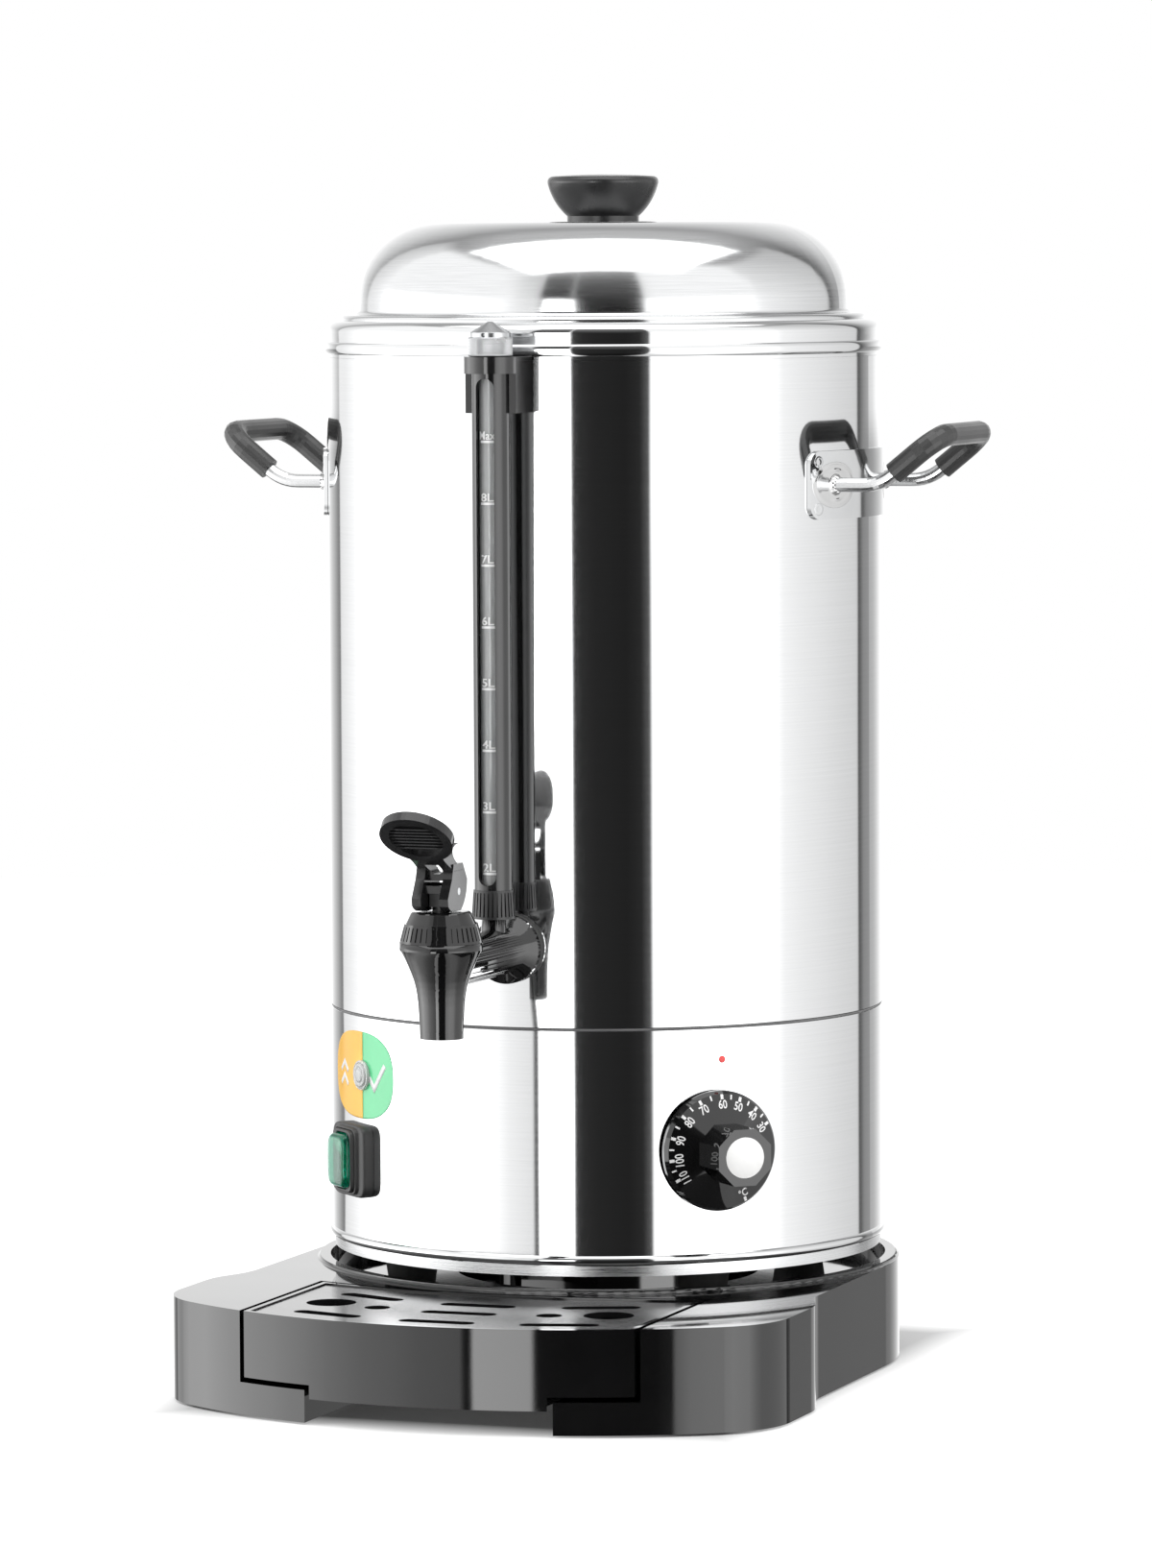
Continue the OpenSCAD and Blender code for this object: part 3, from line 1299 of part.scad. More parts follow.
// Soft cup on the stem's tip, which closes the spout's bore.
module tap_seat_cup() color([0.75, 0.3, 0.2]) at_spout() difference() {
    rotate_extrude() polygon([
        [0, seat_top_z - cup_lip_h], [cup_r - 1, seat_top_z - cup_lip_h], [cup_r, seat_top_z + cup_lip_h / 2],
        [cup_r, seat_top_z + cup_h / 2], [cup_r - 2, stem_foot_z - fit_gap], [0, stem_foot_z - fit_gap]
    ]);
    disc(stem_tip_r + fit_gap, stem_foot_z - stem_tip_h - fit_gap, far);
}

// Return spring: one round wire wound as a helix between the stem's flange and the bonnet's roof.
module tap_spring() color(bright_steel) at_spout() {
    sides = 6;
    steps = 12;
    rings = spring_turns * steps;
    low = spring_z0 + spring_wire / 2 + fit_gap;
    rise = spring_z1 - fit_gap - spring_wire / 2 - low;
    points = [for (i = [0:rings], j = [0:sides - 1]) let (
        t = 360 * i / steps, p = 360 * j / sides,
        r = spring_d / 2 + spring_wire / 2 * cos(p)
    ) [r * cos(t), r * sin(t), low + rise * i / rings + spring_wire / 2 * sin(p)]];
    middles = [for (i = [0:rings]) [cos(360 * i / steps), sin(360 * i / steps), 0] * spring_d / 2
        + [0, 0, low + rise * i / rings]];
    gaps = [for (i = [0:rings], j = [i + steps / 2:1:rings]) norm(middles[i] - middles[j]) - spring_wire];
    echo(least_spring_gap = min(gaps));
    faces = concat(
        [[for (j = [0:sides - 1]) j]],
        [[for (j = [sides - 1:-1:0]) rings * sides + j]],
        [for (i = [0:rings - 1], j = [0:sides - 1]) let (a = i * sides, b = a + sides, k = (j + 1) % sides)
            [a + j, b + j, b + k]],
        [for (i = [0:rings - 1], j = [0:sides - 1]) let (a = i * sides, b = a + sides, k = (j + 1) % sides)
            [a + j, b + k, a + k]]
    );
    polyhedron(points, faces);
}

// Heel of the fork in the plane of the tilt (forward, up) from the pin. Past the flat foot the outline is an
// involute, so the stem rises in proportion to the tilt.
function heel(t) = let (a = t * PI / 180, h = heel_depth + lift_rate * a)
    [h * sin(t) + lift_rate * cos(t), -h * cos(t) + lift_rate * sin(t)];

// Lever: a fork with cam heels and two cross bars, a waisted neck with a window, and an oval finger pad that is
// domed behind, with ribs in a recess in front.
module tap_lever() color(black_gloss) translate([0, -spout_r, pin_z]) difference() {
    bar_top = bar_low + neck_bar_h;
    union() {
        for (s = [-1, 1]) upright(s * (fork_gap + cheek_w) / 2, cheek_w) cheek_outline();
        upright(0, fork_w) {
            translate([-bar_half, bar_low]) square([2 * bar_half, neck_bar_h]);
            translate([cheek_half - front_bar_t, front_bar_low]) square([front_bar_t, front_bar_h]);
        }
        difference() {
            upright(0, finger_w) neck_outline();
            for (s = [-1, 1]) translate([s * (neck_w / 2 + waist_r), 0, bar_top + waist_rise])
                rotate([90, 0, 0]) cylinder(r = waist_r, h = far, center = true);
        }
        finger_frame() intersection() {
            linear_extrude(finger_t, center = true) oval(finger_w, finger_len);
            translate([0, 0, finger_dome_r - finger_t / 2]) sphere(r = finger_dome_r);
        }
    }
    upright(0, fork_w + 2) circle(d = pin_d + 2 * running_gap);
    finger_frame() translate([0, 0, finger_t / 2 - finger_recess]) difference() {
        linear_extrude(far) oval(finger_w - 2 * finger_rim, finger_len - 2 * finger_rim);
        for (i = [0:finger_ribs - 1]) translate([0, (i - (finger_ribs - 1) / 2) * rib_pitch, 0])
            cube([finger_w, rib_pitch / 2, 2 * finger_rib_h], center = true);
    }
    translate([0, 0, bar_top + neck_window_rise]) rotate([90, 90, 0])
        linear_extrude(2 * neck_window_reach, center = true) stadium(neck_window_h, neck_window_w);
}

// Extrudes an outline drawn in the plane of the tilt (forward, up) to a width along the pin.
module upright(x, w) translate([x, 0, 0]) rotate([90, 0, -90]) linear_extrude(w, center = true) children();

module cheek_outline() intersection() {
    translate([cheek_round_r - cheek_half - cheek_flare, bar_low]) circle(r = cheek_round_r);
    polygon(concat(
        [[-cheek_half - cheek_flare, -heel_depth], [lift_rate, -heel_depth]],
        [for (t = [5:5:lever_tilt]) heel(t)],
        [heel(lever_tilt) + cheek_toe, [cheek_half, bar_low + 1], [bar_half + cheek_flare, cheek_top]],
        [[-bar_half, cheek_top], [-cheek_half - cheek_flare, bar_low]]
    ));
}

module neck_outline() let (
    dir = [sin(finger_lean), cos(finger_lean)],
    side = [cos(finger_lean), -sin(finger_lean)] * finger_t / 2,
    low = [finger_reach, finger_rise] - dir * (finger_len / 2 - 4),
    root = bar_low + neck_bar_h - 1
) polygon([[-bar_half, root], [bar_half, root], low + side, low - side]);

// Frame of the finger pad: x along the pin, y along the pad and z out of its ribbed face.
module finger_frame() translate([0, -finger_reach, finger_rise]) rotate([90 + finger_lean, 0, 0]) children();

module oval(w, len) polygon([for (t = [0:7.5:352.5]) [w / 2 * cos(t), len / 2 * sin(t)]]);

module lever_pin() color(bright_steel) translate([0, -spout_r, pin_z]) rotate([0, 90, 0])
    cylinder(d = pin_d, h = fork_w, center = true);

// Domed lid: skirt, rolled flange, side wall, round shoulder and flat top.
module lid() color(steel) difference() {
    flange_z = mouth_z + fit_gap;
    skirt_r = tank_in - skirt_gap;
    skirt_z = mouth_z - lid_skirt_h;
    rotate_extrude() {
        lid_outline(0);
        translate([0, flange_z]) square([lid_flange_r - roll_r, lid_flange_h]);
        translate([0, flange_z]) square([lid_flange_r, lid_flange_h - roll_r]);
        translate([lid_flange_r - roll_r, flange_z + lid_flange_h - roll_r]) circle(r = roll_r);
        translate([0, skirt_z]) square([skirt_r, lid_skirt_h + 1]);
    }
    rotate_extrude() {
        lid_outline(lid_sheet);
        translate([0, skirt_z - 1]) square([skirt_r - lid_sheet, lid_skirt_h + 1 + lid_flange_h - lid_sheet]);
    }
    disc(knob_screw_d / 2 + hole_gap, 0, far);
    for (s = [-1, 1]) rotate([0, 0, steam_hole_angle]) translate([s * steam_hole_r, 0, mouth_z])
        cylinder(d = steam_hole_d, h = far);
}

// Half profile of the dome, drawn in by an inset.
module lid_outline(inset) {
    top = mouth_z + lid_h;
    translate([0, mouth_z]) square([lid_r - lid_shoulder_r, lid_h - inset]);
    translate([0, mouth_z]) square([lid_r - inset, lid_h - lid_shoulder_r]);
    intersection() {
        translate([lid_r - lid_shoulder_r, top - lid_shoulder_r]) circle(r = lid_shoulder_r - inset);
        translate([0, mouth_z]) square([lid_r, lid_h]);
    }
}

// Knob: a neck, a bowl that runs smoothly into the round edge, and a crowned top.
module lid_knob() color(black_soft) translate([0, 0, mouth_z + lid_h + fit_gap]) difference() {
    rotate_extrude() {
        square([knob_foot[0], knob_neck_h + 1]);
        intersection() {
            translate(bowl_mid) circle(r = knob_bowl_r);
            translate([0, knob_neck_h]) square([knob_d / 2, bowl_top[1] - knob_neck_h]);
        }
        translate(edge_mid) circle(r = knob_edge_r);
        intersection() {
            translate([0, bowl_top[1]]) square([edge_x, knob_h - bowl_top[1]]);
            translate([0, knob_h - knob_crown_r]) circle(r = knob_crown_r);
        }
    }
    translate([0, 0, -1]) cylinder(d = knob_screw_d + 2 * fit_gap, h = knob_screw_len + 2);
}

module knob_screw() color(bright_steel) translate([0, 0, mouth_z + lid_h]) {
    translate([0, 0, -lid_sheet - fit_gap - screw_head_h]) cylinder(d = 2 * knob_screw_d, h = screw_head_h);
    translate([0, 0, -lid_sheet - 1]) cylinder(d = knob_screw_d, h = lid_sheet + 1 + knob_screw_len);
}

on_footprint() stand();
on_footprint() stand_pads();
on_footprint() drip_tray();
on_footprint() drip_grid();
on_footprint() outer_shell();
on_footprint() lower_housing();
on_footprint() inner_tank();
on_footprint() rim_collar();
on_footprint() bottom_plate();
on_footprint() kettle_feet();
on_footprint() foot_screws();
on_footprint() centre_stud();
on_footprint() stud_nut();
on_footprint() heat_spreader();
on_footprint() heating_element();
on_footprint() sensor_bulb();
on_footprint() thermal_cutout();
on_footprint() terminal_block();
on_footprint() lead_inlet();
on_footprint() thermostat();
on_footprint() thermostat_nut();
on_footprint() thermostat_spindle();
on_footprint() thermostat_dial();
on_footprint() dial_cap();
on_footprint() switch_boot();
on_footprint() switch_body();
on_footprint() switch_rocker();
on_footprint() lamp_lens();
on_footprint() lamp_body();
on_footprint() left_handle_plate();
on_footprint() left_handle_rod();
on_footprint() left_handle_grip();
on_footprint() right_handle_plate();
on_footprint() right_handle_rod();
on_footprint() right_handle_grip();
on_footprint() gauge_guard();
on_footprint() gauge_tube();
on_footprint() gauge_bracket();
on_footprint() bracket_screws();
on_footprint() gauge_cap();
on_footprint() gauge_nut();
on_footprint() gauge_seals();
on_footprint() tap_body();
on_footprint() tap_outer_washer();
on_footprint() tap_inner_washer();
on_footprint() tap_spacer();
on_footprint() tap_inner_nut();
on_footprint() tap_bonnet();
on_footprint() tap_stem();
on_footprint() tap_seat_cup();
on_footprint() tap_spring();
on_footprint() tap_lever();
on_footprint() lever_pin();
on_footprint() lid();
on_footprint() lid_knob();
on_footprint() knob_screw();
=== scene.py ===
"""Looks of an electrically heated, double-walled drinks urn on a glossy drip stand.

All sizes are in metres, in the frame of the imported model: z is up, the tap faces -y and the floor is z = 0.
"""
import math

import bmesh
import bpy
import numpy as np
from mathutils import Matrix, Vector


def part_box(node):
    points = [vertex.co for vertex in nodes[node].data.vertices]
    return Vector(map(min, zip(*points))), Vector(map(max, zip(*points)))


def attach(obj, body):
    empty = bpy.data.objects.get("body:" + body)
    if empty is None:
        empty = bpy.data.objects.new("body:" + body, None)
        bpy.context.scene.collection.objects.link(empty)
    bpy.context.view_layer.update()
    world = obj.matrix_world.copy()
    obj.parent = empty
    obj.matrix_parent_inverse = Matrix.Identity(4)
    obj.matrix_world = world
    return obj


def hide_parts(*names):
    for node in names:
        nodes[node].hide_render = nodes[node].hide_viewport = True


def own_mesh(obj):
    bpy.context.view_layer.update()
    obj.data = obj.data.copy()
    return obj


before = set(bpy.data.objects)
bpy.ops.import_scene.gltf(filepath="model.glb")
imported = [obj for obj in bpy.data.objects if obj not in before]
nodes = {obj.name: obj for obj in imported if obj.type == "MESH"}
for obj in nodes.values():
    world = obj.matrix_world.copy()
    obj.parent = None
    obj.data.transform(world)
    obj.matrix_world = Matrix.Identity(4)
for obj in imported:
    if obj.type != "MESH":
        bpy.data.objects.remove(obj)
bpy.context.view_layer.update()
MM = 0.001

# Studio. A long lens stands to the right of the tap, a little above the middle of the urn and turned slightly down.
# The floor is a pale sheet that glows for the camera. Its glow is turned down inside the stand's footprint, which
# paints shade under the stand on top of the real soft shadow, and it stays high outside that footprint.
shell_low, shell_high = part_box("outer_shell")
stand_low, stand_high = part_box("stand")
axis_y = (shell_low.y + shell_high.y) / 2
wall_r = 0.120
view_turn, view_yaw, view_pitch, view_roll = np.radians([19.6, 0.23, 4.275, -0.286])
view_distance, view_height = 3.223, 0.491
heading = view_turn + view_yaw
ahead = np.array([-math.sin(heading), math.cos(heading), 0.0])
right = np.array([math.cos(heading), math.sin(heading), 0.0])
up = np.array([0.0, 0.0, 1.0])
forward = ahead * math.cos(view_pitch) - up * math.sin(view_pitch)
upward = up * math.cos(view_pitch) + ahead * math.sin(view_pitch)
camera_x = right * math.cos(view_roll) + upward * math.sin(view_roll)
camera_y = upward * math.cos(view_roll) - right * math.sin(view_roll)
camera_data = bpy.data.cameras.new("camera")
focal_px, frame_tall_px, film_mm = 7744, 1633, 36
camera_data.lens = focal_px / frame_tall_px * film_mm
camera_data.clip_end = 50
camera = bpy.data.objects.new("camera", camera_data)
bpy.context.collection.objects.link(camera)
place = Matrix(np.stack([camera_x, camera_y, -forward], 1).tolist()).to_4x4()
place.translation = (
    view_distance * math.sin(view_turn), axis_y - view_distance * math.cos(view_turn), view_height)
camera.matrix_world = place
bpy.context.scene.camera = camera
bpy.context.scene.view_settings.view_transform = "Standard"


def quad_faces(rows, cols, close_rows=False, close_cols=False):
    """Quads between the neighbouring points of a grid; a closed direction joins its last line to its first."""
    i = np.arange(rows if close_rows else rows - 1)[:, None]
    j = np.arange(cols if close_cols else cols - 1)[None, :]
    k, m = (i + 1) % rows, (j + 1) % cols
    corners = np.broadcast_arrays(i * cols + j, k * cols + j, k * cols + m, i * cols + m)
    return np.stack(corners, -1).reshape(-1, 4)


def surface(name, points, faces, material, smooth=True):
    """A mesh object at the origin with these points and faces, smooth unless told otherwise."""
    mesh = bpy.data.meshes.new(name)
    mesh.from_pydata(np.asarray(points).reshape(-1, 3).tolist(), [], [list(map(int, f)) for f in faces])
    mesh.polygons.foreach_set("use_smooth", [smooth] * len(mesh.polygons))
    mesh.materials.append(material)
    mesh.update()
    piece = bpy.data.objects.new(name, mesh)
    bpy.context.collection.objects.link(piece)
    return piece


def add(tree, kind, values=(), **settings):
    """A shader node with these settings, and these values in its sockets."""
    node = tree.nodes.new("ShaderNode" + kind)
    for key, value in settings.items():
        setattr(node, key, value)
    for key, value in dict(values).items():
        node.inputs[key].default_value = value
    return node


def wire(tree, *pairs):
    """Links pairs of an output and an input socket."""
    for source, target in pairs:
        tree.links.new(source, target)


def new_material(name):
    """An empty material and its node tree, with an output node."""
    material = bpy.data.materials.new(name)
    material.use_nodes = True
    material.node_tree.nodes.clear()
    return material, material.node_tree, add(material.node_tree, "OutputMaterial")


def circle(steps):
    """Angles of a full turn in equal steps, without the one that closes it."""
    return np.linspace(0, 2 * np.pi, steps + 1)[:-1]


floor_white, tree, output = new_material("floor_white")
sheet_lit = add(tree, "BsdfDiffuse", {"Color": (0.8, 0.8, 0.8, 1)})
sheet_seen = add(tree, "BsdfDiffuse", {"Color": (0.6, 0.6, 0.6, 1)})
sheet_glow = add(tree, "Emission")
sheet_place = add(tree, "TexCoord")
# Painted shade: the floor's glow falls almost to nothing inside the stand's footprint, so the floor under the stand
# reads darker than its light alone makes it.
from_stand = add(tree, "VectorMath", {1: tuple((stand_low + stand_high) / 2)}, operation="SUBTRACT")
share = add(tree, "VectorMath", {1: tuple((stand_high - stand_low) / 2)}, operation="DIVIDE")
share_size = add(tree, "VectorMath", operation="ABSOLUTE")
share_parts = add(tree, "SeparateXYZ")
share_most = add(tree, "Math", operation="MAXIMUM")
stand_shade_glow = add(tree, "MapRange", {"From Min": 0.86, "From Max": 1.0, "To Min": 0.03, "To Max": 0.5})
wire(tree, (sheet_place.outputs["Object"], from_stand.inputs[0]), (from_stand.outputs[0], share.inputs[0]),
     (share.outputs[0], share_size.inputs[0]), (share_size.outputs[0], share_parts.inputs[0]),
     (share_parts.outputs["X"], share_most.inputs[0]), (share_parts.outputs["Y"], share_most.inputs[1]),
     (share_most.outputs[0], stand_shade_glow.inputs["Value"]), (stand_shade_glow.outputs[0], sheet_glow.inputs["Strength"]))
sheet_sum = add(tree, "AddShader")
seen_or_not = add(tree, "MixShader")
rays = add(tree, "LightPath")
wire(tree, (sheet_seen.outputs[0], sheet_sum.inputs[0]), (sheet_glow.outputs[0], sheet_sum.inputs[1]),
     (rays.outputs["Is Camera Ray"], seen_or_not.inputs[0]), (sheet_lit.outputs[0], seen_or_not.inputs[1]),
     (sheet_sum.outputs[0], seen_or_not.inputs[2]), (seen_or_not.outputs[0], output.inputs["Surface"]))
rings, spokes = np.meshgrid(np.linspace(0.001, 2.5, 12), circle(72), indexing="ij")
floor_points = np.stack([rings * np.cos(spokes), rings * np.sin(spokes), -1e-5 + 0 * rings], -1)
floor = surface("floor", floor_points, quad_faces(12, 72, close_cols=True), floor_white)
floor.visible_glossy = False

# Soft boxes and dark gaps round the set, which only the polished pieces see. Each part of the dome glows by its
# bearing from the tap's side and its height: side boxes, a narrow front box, the dark gap at the camera, a pale
# back wall, a dim ceiling and an overhead box.
bearing, height = np.meshgrid(np.radians(np.arange(-180, 180, 0.5)), np.radians(np.arange(-80, 90.1, 0.5)),
                              indexing="ij")
az, el = np.degrees(bearing), np.degrees(height)
dome_dir = np.stack([np.sin(bearing) * np.cos(height), -np.cos(bearing) * np.cos(height), np.sin(height)], -1)
wall_az = [-180, -170, -160, -154, -146, -138, -130, -126, -123.4, -122, -114, -106, -95, -83, -60, -50, -44, -35, -27,
           -21, -11, -9.8, -8.6, -7.6, 5.4, 6.6, 10, 16, 28, 34, 37.6, 38.6, 42, 60, 80, 90, 98, 106, 122, 134, 146,
           147.5, 149, 150.5, 154, 162, 170, 178, 180]
wall_glow = [1.17, 1.48, 1.53, 1.45, 1.22, 0.88, 0.57, 0.38, 0.30, 1.15, 1.35, 1.6, 3.0, 4.2, 3.7, 3.1, 2.55, 2.0, 1.75,
             1.45, 1.25, 0.12, 0.12, 5.6, 5.2, 0.06, 0.04, 0.03, 0.024, 0.035, 0.15, 1.9, 2.6, 3.4, 3.0, 2.0, 1.5, 1.38,
             1.22, 1.1, 1.0, 0.92, 0.17, 0.17, 0.36, 0.51, 0.78, 1.1, 1.17]
walls = np.interp(az, wall_az, wall_glow) * np.interp(el, [-40, -14, 10, 46, 56], [0.4, 1, 1, 0.75, 0])
walls = np.minimum(walls, np.interp(el, [8, 14], [9, 1.55]))
walls = np.where((az > -9) & (az < 6), walls * np.interp(el, [11, 14], [1, 0.05]), walls)
ceiling = np.interp(el, [0, 12, 36, 48, 60, 90], [0, 0.06, 0.2, 0.45, 0.75, 0.8])
back = np.interp(el, [0, 4, 10, 24, 36, 48, 60], [1.6, 1.6, 1.2, 1.05, 0.85, 0.5, 0.78])
behind = np.clip((np.cos(bearing + math.radians(160)) - 0.7) / 0.3, 0, 1) * (el > 0)
glow = np.maximum(walls, ceiling) * (1 - behind) + back * behind
over = dome_dir / np.maximum(dome_dir[..., 2:], 1e-3)
over_side = over[..., 0] * math.cos(view_turn) + over[..., 1] * math.sin(view_turn)
over_front = over[..., 0] * math.sin(view_turn) - over[..., 1] * math.cos(view_turn)
overhead = (el > 30) & (np.abs(over_side) < 0.68) & (over_front > -0.25) & (over_front < 0.8)
glow = np.where(overhead, 3.0, glow)
studio_glow, tree, output = new_material("studio_glow")
glow_value = add(tree, "Attribute", attribute_name="glow")
glow_light = add(tree, "Emission")
wire(tree, (glow_value.outputs["Fac"], glow_light.inputs["Strength"]),
     (glow_light.outputs[0], output.inputs["Surface"]))
dome = surface("studio_dome", np.array([0, axis_y, 0.25]) + 5.0 * dome_dir,
               quad_faces(*az.shape, close_rows=True), studio_glow)
dome.data.attributes.new("glow", "FLOAT", "POINT").data.foreach_set("value", glow.ravel().astype(np.float32))
dome.visible_camera = dome.visible_diffuse = dome.visible_shadow = dome.visible_volume_scatter = False

world = bpy.data.worlds.new("studio")
bpy.context.scene.world = world
world.use_nodes = True
tree = world.node_tree
tree.nodes.clear()
rays = add(tree, "LightPath")
seen = add(tree, "Math", operation="MAXIMUM")
mirrored = add(tree, "Math", operation="MAXIMUM")
level = add(tree, "MapRange", {"To Min": 0.7, "To Max": 1.0})
sky = add(tree, "Background", {"Color": (1, 1, 1, 1)})
output = add(tree, "OutputWorld")
wire(tree, (rays.outputs["Is Glossy Ray"], mirrored.inputs[0]),
     (rays.outputs["Is Transmission Ray"], mirrored.inputs[1]),
     (rays.outputs["Is Camera Ray"], seen.inputs[0]), (mirrored.outputs[0], seen.inputs[1]),
     (seen.outputs[0], level.inputs["Value"]), (level.outputs[0], sky.inputs["Strength"]),
     (sky.outputs[0], output.inputs["Surface"]))
lamp_distance, set_middle = 2.4, np.array([0, axis_y, 0.25])
for lamp_name, lamp_az, lamp_el, lamp_size, lamp_watts in (
        ("left_lamp", -60, 30, 1.6, 24), ("right_lamp", 85, 30, 1.6, 27), ("top_lamp", 20, 75, 1.8, 26)):
    lamp_data = bpy.data.lights.new(lamp_name, "AREA")
    lamp_data.size = lamp_size
    lamp_data.energy = lamp_watts
    lamp = bpy.data.objects.new(lamp_name, lamp_data)
    bpy.context.collection.objects.link(lamp)
    a, e = math.radians(lamp_az), math.radians(lamp_el)
    beam = np.array([math.sin(a) * math.cos(e), -math.cos(a) * math.cos(e), math.sin(e)])
    side = np.array([math.cos(a), math.sin(a), 0.0])
    turn = Matrix(np.stack([side, np.cross(beam, side), beam], 1).tolist()).to_4x4()
    turn.translation = (lamp_distance * beam + set_middle).tolist()
    lamp.matrix_world = turn
    lamp.visible_glossy = False

# Drip stand. One glossy black injection moulding with a round seat for the urn, two front lobes and ribs
# underneath; four rubber pads are pressed into bosses below it.
grain = bpy.data.node_groups.new("fine_grain", "ShaderNodeTree")
for socket, way in (("Scale", "INPUT"), ("Height", "OUTPUT"), ("Tone", "OUTPUT"), ("Swell", "OUTPUT")):
    grain.interface.new_socket(socket, in_out=way, socket_type="NodeSocketFloat")
group_in, group_out = grain.nodes.new("NodeGroupInput"), grain.nodes.new("NodeGroupOutput")
where = add(grain, "TexCoord")
pores = add(grain, "TexNoise", {"Detail": 3})
clouds = add(grain, "TexNoise", {"Scale": 38, "Detail": 5})
swell = add(grain, "TexNoise", {"Scale": 14, "Detail": 1})
wire(grain, (where.outputs["Object"], pores.inputs["Vector"]), (where.outputs["Object"], clouds.inputs["Vector"]),
     (group_in.outputs["Scale"], pores.inputs["Scale"]), (pores.outputs[0], group_out.inputs["Height"]),
     (clouds.outputs[0], group_out.inputs["Tone"]), (where.outputs["Object"], swell.inputs["Vector"]),
     (swell.outputs[0], group_out.inputs["Swell"]))


def two_tones(tree, dark, light, rough):
    """A ramp of colour and a range of roughness, both over the middle of a noise's values."""
    ramp = add(tree, "ValToRGB")
    for stop, position, colour in zip(ramp.color_ramp.elements, (0.3, 0.7), (dark, light)):
        stop.position = position
        stop.color = (*colour, 1)
    gloss = add(tree, "MapRange", {"From Min": 0.3, "From Max": 0.7, "To Min": rough[0], "To Max": rough[1]})
    return ramp, gloss


def grained(name, dark, light, rough, scale, depth, wave=2e-5, mask=None, **sockets):
    """A finish whose colour runs from dark to light and whose roughness runs over a range with the cloud tone,
    with pores of a scale (per metre) and a depth (metres) as bump over a slow swell of the face, as deep as the
    wave; a mask of the piece may set the colour instead, and other sockets of the shader are set plainly."""
    material, tree, output = new_material(name)
    shader = add(tree, "BsdfPrincipled", {key.replace("_", " "): value for key, value in sockets.items()})
    group = add(tree, "Group", node_tree=grain)
    group.inputs["Scale"].default_value = scale
    ramp, gloss = two_tones(tree, dark, light, rough)
    bump = add(tree, "Bump", {"Distance": depth})
    slow = add(tree, "Bump", {"Distance": wave})
    shade = add(tree, "Attribute", attribute_name=mask).outputs["Fac"] if mask else group.outputs["Tone"]
    wire(tree, (group.outputs["Swell"], slow.inputs["Height"]), (slow.outputs[0], bump.inputs["Normal"]),
         (shade, ramp.inputs[0]), (group.outputs["Tone"], gloss.inputs["Value"]),
         (group.outputs["Height"], bump.inputs["Height"]), (ramp.outputs[0], shader.inputs["Base Color"]),
         (gloss.outputs[0], shader.inputs["Roughness"]), (bump.outputs[0], shader.inputs["Normal"]),
         (shader.outputs[0], output.inputs["Surface"]))
    return material


def dress(material, *names):
    """Gives CAD nodes a finish."""
    for name in names:
        nodes[name].data.materials.clear()
        nodes[name].data.materials.append(material)


gloss_black = grained("gloss_black", (0.0032, 0.0032, 0.0034), (0.0052, 0.0052, 0.0054), (0.025, 0.05),
                      900, 1.5e-6, 9e-5, IOR=1.57)
black_rubber = grained("black_rubber", (0.018, 0.018, 0.018), (0.030, 0.030, 0.029), (0.62, 0.78), 2600, 4e-5)
dress(gloss_black, "stand")
dress(black_rubber, "stand_pads")

# Drip tray and grid. The tray is a drawer of the same glossy plastic that runs on the stand's ledges; the grid is
# a satin plate with drain slots and round holes, which drops into the tray's edge.
grid_black = grained("grid_black", (0.006, 0.006, 0.0065), (0.011, 0.011, 0.0115), (0.08, 0.15), 2400, 1.2e-5)
dress(gloss_black, "drip_tray")
dress(grid_black, "drip_grid")

# Walls of the urn. Stainless sheet, rolled and polished to a mirror, with the fine rings that turning under the
# polishing wheel leaves; the beads and the seam groove are rolled into the same sheet.
turned = bpy.data.node_groups.new("polishing_rings", "ShaderNodeTree")
for socket, way in (("Pitch", "INPUT"), ("Lines", "OUTPUT"), ("Ripple", "OUTPUT")):
    turned.interface.new_socket(socket, in_out=way, socket_type="NodeSocketFloat")
group_in, group_out = turned.nodes.new("NodeGroupInput"), turned.nodes.new("NodeGroupOutput")
where = add(turned, "TexCoord")
from_axis = add(turned, "VectorMath", {1: (0, axis_y, 0)}, operation="SUBTRACT")
split = add(turned, "SeparateXYZ")
flat = add(turned, "CombineXYZ")
radius = add(turned, "VectorMath", operation="LENGTH")
slow = add(turned, "Math", {1: 0.02}, operation="MULTIPLY")
ring_place = add(turned, "CombineXYZ")
stretch = add(turned, "VectorMath", operation="SCALE")
lines = add(turned, "TexNoise", {"Scale": 1, "Detail": 3})
ripple = add(turned, "TexNoise", {"Scale": 9, "Detail": 1})
wire(turned, (where.outputs["Object"], from_axis.inputs[0]), (from_axis.outputs[0], split.inputs[0]),
     (split.outputs["X"], flat.inputs["X"]), (split.outputs["Y"], flat.inputs["Y"]),
     (flat.outputs[0], radius.inputs[0]), (split.outputs["X"], slow.inputs[0]),
     (radius.outputs["Value"], ring_place.inputs["X"]), (split.outputs["Z"], ring_place.inputs["Y"]),
     (slow.outputs[0], ring_place.inputs["Z"]), (ring_place.outputs[0], stretch.inputs[0]),
     (group_in.outputs["Pitch"], stretch.inputs["Scale"]), (stretch.outputs[0], lines.inputs["Vector"]),
     (where.outputs["Object"], ripple.inputs["Vector"]), (lines.outputs[0], group_out.inputs["Lines"]),
     (ripple.outputs[0], group_out.inputs["Ripple"]))


